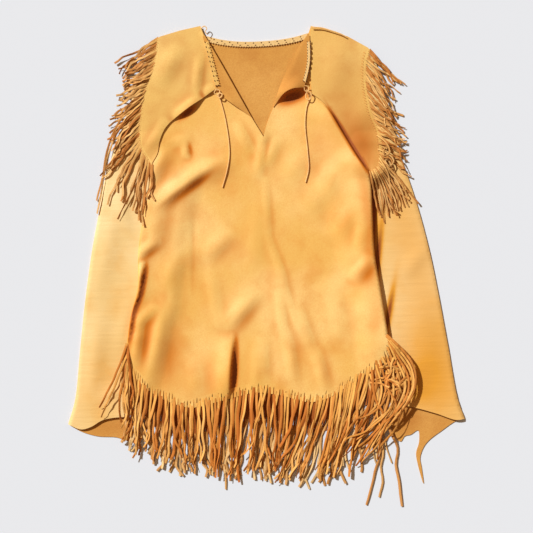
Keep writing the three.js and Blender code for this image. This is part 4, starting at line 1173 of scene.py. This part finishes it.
yokeLeftFringe = {
    "finish": "yokeStrand",
    "rows": [
        (0, 0.088, 212, 12), (0.15, 0.078, 210, 8), (0.27, 0.068, 206, 0), (0.4, 0.062, 206, 6),
        (0.5, 0.1, 216, 10), (0.64, 0.078, 214, 16), (0.75, 0.09, 222, 14), (0.82, 0.12, 234, 18),
        (0.9, 0.14, 252, 10), (0.96, 0.12, 262, 4), (1, 0.08, 264, 2),
    ],
    "comb": {"long": 0.007, "tops": (0.001, 0.004), "slit": 0.0014, "throat": 0.4, "seed": 4,
             "ripple": 0, "finish": "yokeGrain", "dye": (), "stitches": []},
    "strands": {"Strands": 72, "Width": 0.005, "Thickness": 0.0012, "Wander": 0.011, "Lean": 0.8,
                "Curl": 1.4, "Spread": 0.15, "Uneven": 0.3, "Ragged": 0.2, "Begin": 0.003,
                "Pile": 0.007, "Seed": 5},
    "drawn": [
        (0.002, -0.241, 0.352, -0.305, 0.268, -0.341, 0.131),
        (0.002, -0.245, 0.334, -0.303, 0.256, -0.337, 0.106),
    ],
}
yokeRightFringe = {
    "finish": "yokeStrand",
    "rows": [
        (0, 0.084, -80, 4), (0.06, 0.09, -68, 6), (0.12, 0.092, -54, 6), (0.2, 0.062, -30, -20),
        (0.3, 0.058, -26, -10), (0.4, 0.072, -30, -6), (0.5, 0.074, -34, -8), (0.65, 0.082, -44, -4),
        (0.8, 0.088, -48, -2), (1, 0.086, -46, 0),
    ],
    "comb": {"long": 0.007, "tops": (0.001, 0.004), "slit": 0.0014, "throat": 0.4, "seed": 6,
             "ripple": 0, "finish": "yokeGrain", "dye": (),
             "stitches": [
                 (0.003, 0.0056, (0.0064, 0.0014, 0.0012), 0.7, "paleStrand"),
                 (0.0056, 0.0056, (0.003, 0.001, 0.0006), 0.7, "suede"),
             ]},
    "strands": {"Strands": 74, "Width": 0.0042, "Thickness": 0.0012, "Wander": 0.01, "Lean": 0.8,
                "Curl": 1.4, "Spread": 0.16, "Uneven": 0.3, "Ragged": 0.2, "Begin": 0.003,
                "Pile": 0.007, "Seed": 8},
    "drawn": [
        (0.004, 0.205, 0.19, 0.214, 0.15, 0.222, 0.106),
        (0.005, 0.209, 0.19, 0.222, 0.15, 0.23, 0.1),
        (0.003, 0.211, 0.191, 0.226, 0.156, 0.236, 0.088),
        (0.006, 0.213, 0.193, 0.23, 0.154, 0.241, 0.106),
        (0.004, 0.215, 0.194, 0.236, 0.156, 0.248, 0.108),
        (0.005, 0.217, 0.196, 0.24, 0.16, 0.257, 0.11),
        (0.003, 0.219, 0.198, 0.242, 0.164, 0.262, 0.112),
        (0.006, 0.221, 0.2, 0.248, 0.162, 0.27, 0.11),
        (0.004, 0.222, 0.204, 0.25, 0.17, 0.276, 0.12),
        (0.005, 0.223, 0.208, 0.256, 0.174, 0.283, 0.12),
        (0.003, 0.224, 0.212, 0.26, 0.18, 0.302, 0.124),
        (0.006, 0.224, 0.216, 0.24, 0.186, 0.252, 0.134),
        # curls above it
        (0.007, 0.22, 0.262, 0.238, 0.246, 0.246, 0.226, 0.232, 0.22, 0.236, 0.236, 0.25, 0.232),
        (0.006, 0.222, 0.246, 0.244, 0.238, 0.24, 0.216, 0.226, 0.222, 0.24, 0.206),
        (0.007, 0.222, 0.234, 0.238, 0.226, 0.254, 0.212, 0.244, 0.198, 0.234, 0.208, 0.248, 0.218),
        (0.006, 0.223, 0.226, 0.246, 0.214, 0.25, 0.194, 0.236, 0.19),
    ],
}


def curled(look):  # short arcs in all directions, as rows of rise, x, y, x, y and so on
    chance = np.random.default_rng(look["seed"])
    rows = []
    for _ in range(look["curls"]):
        middle = np.array(look["middle"]) + chance.uniform(-0.6, 0.6, 2) * look["spread"]
        radius, aim = chance.uniform(*look["radius"]), chance.uniform(0, 2 * math.pi)
        half = math.radians(chance.uniform(*look["arc"])) / 2
        angles = aim + np.linspace(-half, half, 6)
        arc = np.column_stack([np.cos(angles) - math.cos(aim), np.sin(angles) - math.sin(aim)])
        arc = middle + radius * arc
        rows.append((chance.uniform(*look["rise"]), *arc.ravel()))
    return rows


def combed(edge, share, heading, count, look):  # the strip that the strands are cut from
    def spot(at):
        return np.array([np.interp(at, share, column) for column in edge.T])

    def way(at):
        aim = np.interp(at, share, heading)
        return np.array([math.cos(aim), math.sin(aim)])

    chance = np.random.default_rng(look["seed"])
    step, half = 1 / (count - 1), look["slit"] / 2
    tight = fringes["throatWidth"] * half
    line = [edge[0] + look["long"] * way(0)]
    for k in range(count - 1):
        at = (k + 0.5) * step
        top = chance.uniform(*look["tops"])
        along = spot(min(1, at + step / 4)) - spot(max(0, at - step / 4))
        along = along / np.linalg.norm(along)
        mouth = spot(at) + look["long"] * way(at)
        tip = spot(at) + top * way(at)
        throat = tip + look["throat"] * (mouth - tip)
        line += [mouth - half * along, throat - tight * along, tip]
        line += [throat + tight * along, mouth + half * along]
    line.append(edge[-1] + look["long"] * way(1))
    return np.array(line)


def numbered(lines):  # the number of its line at each point
    return np.concatenate([np.full(len(line), k + 1.0) for k, line in enumerate(lines)])


def drawnOf(name, look, height, coat, values):
    lines, depths = [], []
    for lift, *route in look["drawn"] + (curled(look["tangle"]) if "tangle" in look else []):
        flat = smooth(np.reshape(route, (-1, 2)), step=0.008)
        up = lift * np.sin(np.linspace(0, math.pi, len(flat))) ** fringes["arch"]
        lines.append(np.column_stack([flat, height(flat[:, 0], flat[:, 1]) + fringes["off"] + up]))
        depths.append(np.full(len(flat), 1 - lift / fringes["lowest"]))
    numbers = numbered(lines)
    most, pace, middle = fringes["dyeWave"]
    # painted shade on drawn strands that rise little, as if in the bunch's shadow
    shadeWhenLow = look.get("shadeWhenLow", 0) * np.clip(np.concatenate(depths), 0, 1)
    facts = {"number": numbers, "dye": most * np.sin(numbers * pace) + middle + shadeWhenLow}
    narrow = fringes["narrow"] * values["Width"]
    values = dict(values, Wander=fringes["wander"], Width=narrow, Leather=coat)
    return runTree(name + "Drawn", lineMesh(name, lines, facts), drawnThongs, values)


def buildFringe(name, node, look, edge, low, beyond):
    comb, strands = look["comb"], look["strands"]
    along = np.r_[0, np.cumsum(np.linalg.norm(np.diff(edge, axis=0), axis=1))]
    share = along / along[-1]
    at, reaches, aims, turns = np.array(look["rows"], float).T
    heading = np.radians(np.interp(share, at, aims))
    ground = letDown(edge, low, beyond, comb["long"], comb["long"] + fringes["beyond"])
    quick, slow = fringes["ripple"]

    def height(x, y):  # with each tooth a little off its neighbours' height
        down = ease(np.abs(offLine(edge[::3], x, y)), *fringes["rippleFrom"])
        return ground(x, y) + comb["ripple"] * (np.sin(x * quick + 2 * np.sin(x * slow)) * down)

    teeth = combed(edge, share, heading, strands["Strands"], comb)
    strip = sheetMesh(
        name + "Strip", outlineOf(edge, teeth[::-1]), height, fringes["stripCell"], comb["finish"], "suede"
    )[0]
    stain(strip, comb["dye"])
    facts = {
        "heading": heading,
        "turn": np.radians(np.interp(share, at, turns)),
        "reach": np.interp(share, at, reaches),
    }
    line = np.column_stack([edge, low(edge[:, 0], edge[:, 1])])
    reach = reaches.max() + fringes["beyond"]
    net = groundObject(
        height, edge[:, 0].min() - reach, edge[:, 0].max() + reach,
        edge[:, 1].min() - reach, edge[:, 1].max() + reach,
    )
    values = dict(strands, Ground=net, Leather=materials[look["finish"]])
    meshes = [runTree(name + "Edge", lineMesh(name, [line], facts), edgeFringe, values), strip]
    for inwards, pitch, size, turn, bead in comb["stitches"]:
        row = beside(edge, inwards)[3:-3]
        meshes.append(rowMesh(row, low(row[:, 0], row[:, 1]) + hide, pitch, size, turn, bead))
    coat = materials[look.get("drawnFinish", look["finish"])]
    meshes.append(drawnOf(name, look, height, coat, values))
    bpy.data.objects.remove(net)
    return dress(joined(name, meshes), [node])


yokeOuter = {side: smooth(yokes[side]["outer"]) for side in bothSides}


def aboveBack(x, y):
    return overSleeves(x, y) + fringes["offBack"]


def overSleevesAndFront(x, y):
    near = cover(outlines["front"], x, y, *fringes["besideFront"])
    return np.maximum(overSleeves(x, y), near * (frontRise(x, y) + hide + fringes["clear"]))


fringePieces = {
    name: buildFringe(name, node, look, edge, low, beyond)
    for name, node, look, edge, low, beyond in (
        ("hemFringeFront", "fringe_hem_front", hemFrontFringe, hem, frontLow, aboveBack),
        ("hemFringeBack", "fringe_hem_back", hemBackFringe, backHem, backLow, overSleeves),
        ("yokeFringeLeft", "fringe_yoke_left", yokeLeftFringe, yokeOuter["left"], yokeLow,
         overSleevesAndFront),
        ("yokeFringeRight", "fringe_yoke_right", yokeRightFringe, yokeOuter["right"][::-1], yokeLow,
         overSleeves),
    )
}
print("fringes made:", len(fringePieces))


# Ties: round thongs that hang from the two corners of the neck, by the solids' own route
ties = {
    "diameter": 0.0024,
    "clear": 0.0007,
    "left": [
        (-0.096, 0.343), (-0.089, 0.321), (-0.08, 0.282), (-0.074, 0.226), (-0.079, 0.19), (-0.088, 0.158),
    ],
    "right": [
        (0.078, 0.352), (0.086, 0.338), (0.08, 0.318), (0.077, 0.285), (0.082, 0.23), (0.084, 0.194),
        (0.078, 0.168),
    ],
}


def buildTie(side):
    route = smooth(ties[side], step=0.006)
    z = frontLow(route[:, 0], route[:, 1]) + hide + ties["clear"] + ties["diameter"] / 2
    path = np.column_stack([route, z])
    curve = bpy.data.curves.new("tie" + side.title(), "CURVE")
    curve.dimensions = "3D"
    curve.bevel_depth = ties["diameter"] / 2
    curve.bevel_resolution = 2
    curve.use_fill_caps = True
    line = curve.splines.new("POLY")
    line.points.add(len(path) - 1)
    line.points.foreach_set("co", np.column_stack([path, np.ones(len(path))]).ravel())
    curve.materials.append(materials["laceLeather"])
    made = dress(objectOf("tieThong" + side.title(), curve), ["tie_" + side])
    return made


tiePieces = [buildTie(side) for side in bothSides]
print("ties made:", len(tiePieces))


# Lacing: the bound neck edge, its holes and stitches
binding = {
    "neck": {
        "width": 0.01, "finish": "bindingLeather",
        # how far in, pitch, size of a bead, turn, finish, first point left out
        "rows": [
            (0.0028, 0.015, (0.0032, 0.0026, 0.001), 0.0, "holeShade", 0),
            (0.0074, 0.015, (0.003, 0.0024, 0.001), 0.0, "holeShade", 2),
            (0.0098, 0.005, (0.0046, 0.0016, 0.001), 0.9, "bindingLeather", 0),
            (0.0112, 0.005, (0.0026, 0.001, 0.0008), 0.9, "holeShade", 0),
        ],
        "lace": [],
    },
    "left": {
        "width": 0.0085, "finish": "yokeGrain",
        "rows": [
            (0.0018, 0.009, (0.0042, 0.0022, 0.001), 0.3, "holeShade", 0),
            (0.0068, 0.009, (0.0042, 0.0022, 0.001), 0.3, "holeShade", 1),
            (0.0084, 0.0052, (0.0046, 0.0018, 0.0016), 0.9, "yokeGrain", 0),
        ],
        "lace": [
            [(-0.13, 0.474), (-0.124, 0.479), (-0.119, 0.474), (-0.122, 0.468), (-0.118, 0.462)],
            [(-0.1, 0.353), (-0.093, 0.35), (-0.096, 0.342), (-0.104, 0.346), (-0.099, 0.354)],
            [(-0.095, 0.346), (-0.088, 0.343), (-0.092, 0.336), (-0.098, 0.34), (-0.094, 0.347)],
        ],
    },
    "right": {
        "width": 0.0058, "finish": "bindingLeather",
        "rows": [
            (-0.001, 0.0098, (0.0068, 0.0024, 0.0012), 0.0, "holeShade", 0),
            (0.0008, 0.0098, (0.0066, 0.002, 0.0018), 0.7, "laceLeather", 1),
            (0.0052, 0.0056, (0.004, 0.0013, 0.001), 0.5, "holeShade", 0),
        ],
        "lace": [
            [(0.076, 0.36), (0.083, 0.358), (0.084, 0.35), (0.077, 0.349), (0.075, 0.357)],
            [(0.08, 0.352), (0.089, 0.344), (0.086, 0.332), (0.079, 0.335), (0.079, 0.346)],
            [(0.09, 0.476), (0.108, 0.4755), (0.128, 0.47), (0.146, 0.464), (0.158, 0.458)],
        ],
    },
    "cell": 0.003,
    "laceWidth": 0.0026,
    "laceFlat": 0.8,  # its thickness beside its width
}


def buildBinding(name, edge, sideways, under, node, look):
    def floorOf(x, y):
        return under(x, y) + hide + 2 * gap

    def top(line, up):
        return floorOf(line[:, 0], line[:, 1]) + hide + up

    ring = np.vstack([edge, beside(edge, sideways * look["width"])[::-1]])
    band = sheetMesh(name, outlineOf(ring[::sideways]), floorOf, binding["cell"], look["finish"], "suede")[0]
    stain(band, ())
    meshes = [band]
    for inwards, pitch, size, turn, finish, first in look["rows"]:
        line = beside(edge, sideways * inwards)[first:]
        meshes.append(rowMesh(line, top(line, 0.0), pitch, size, turn, finish))
    laces = [smooth(row, step=0.002) for row in look["lace"]]
    if laces:
        lines = [np.column_stack([lace, top(lace, binding["laceWidth"] / 2)]) for lace in laces]
        facts = {"number": numbered(lines)}
        meshes.append(runTree(name + "Lace", lineMesh(name, lines, facts), drawnThongs, {
            "Width": binding["laceWidth"], "Thickness": binding["laceWidth"] * binding["laceFlat"],
            "Wander": 0.0, "Leather": materials["laceLeather"],
        }))
    return dress(joined(name, meshes), [node])


bindings = [
    buildBinding(
        "neckBinding", smooth(body["backNeck"])[2:-1], -1, backLow, "binding_back_neck", binding["neck"]
    ),
    buildBinding(
        "lapelBindingLeft", smooth(lapels["left"]["laced"])[3:-3], 1, lapelLow, "binding_lapel_left",
        binding["left"],
    ),
    buildBinding(
        "lapelBindingRight", smooth(lapels["right"]["laced"])[3:-3], -1, lapelLow, "binding_lapel_right",
        binding["right"],
    ),
]
print("bindings made:", len(bindings))


# What the cloth was cut to before it was sewn
def cutSize(outline):  # sides of the smallest rectangle round it
    rectangles = []
    for angle in np.radians(np.arange(0, 180, 3)):
        across = outline @ np.array([math.cos(angle), math.sin(angle)])
        along = outline @ np.array([-math.sin(angle), math.cos(angle)])
        rectangles.append((float(np.ptp(across)), float(np.ptp(along))))
    return min(rectangles, key=lambda size: size[0] * size[1])


def declare(key):
    tube = key[0] == "sleeve"
    width, length = sorted(cutSize(outlines["sleeveUnder", key[1]] if tube else outlines[key]))
    round(width * (2 if tube else 1), 3)


declare("back")
declare("front")
for side, trims in zip(bothSides, bindings[1:]):
    fringe = fringePieces["yokeFringe" + side.title()]
    declare(("sleeve", side))
    declare(("yoke", side))
    declare(("lapel", side))
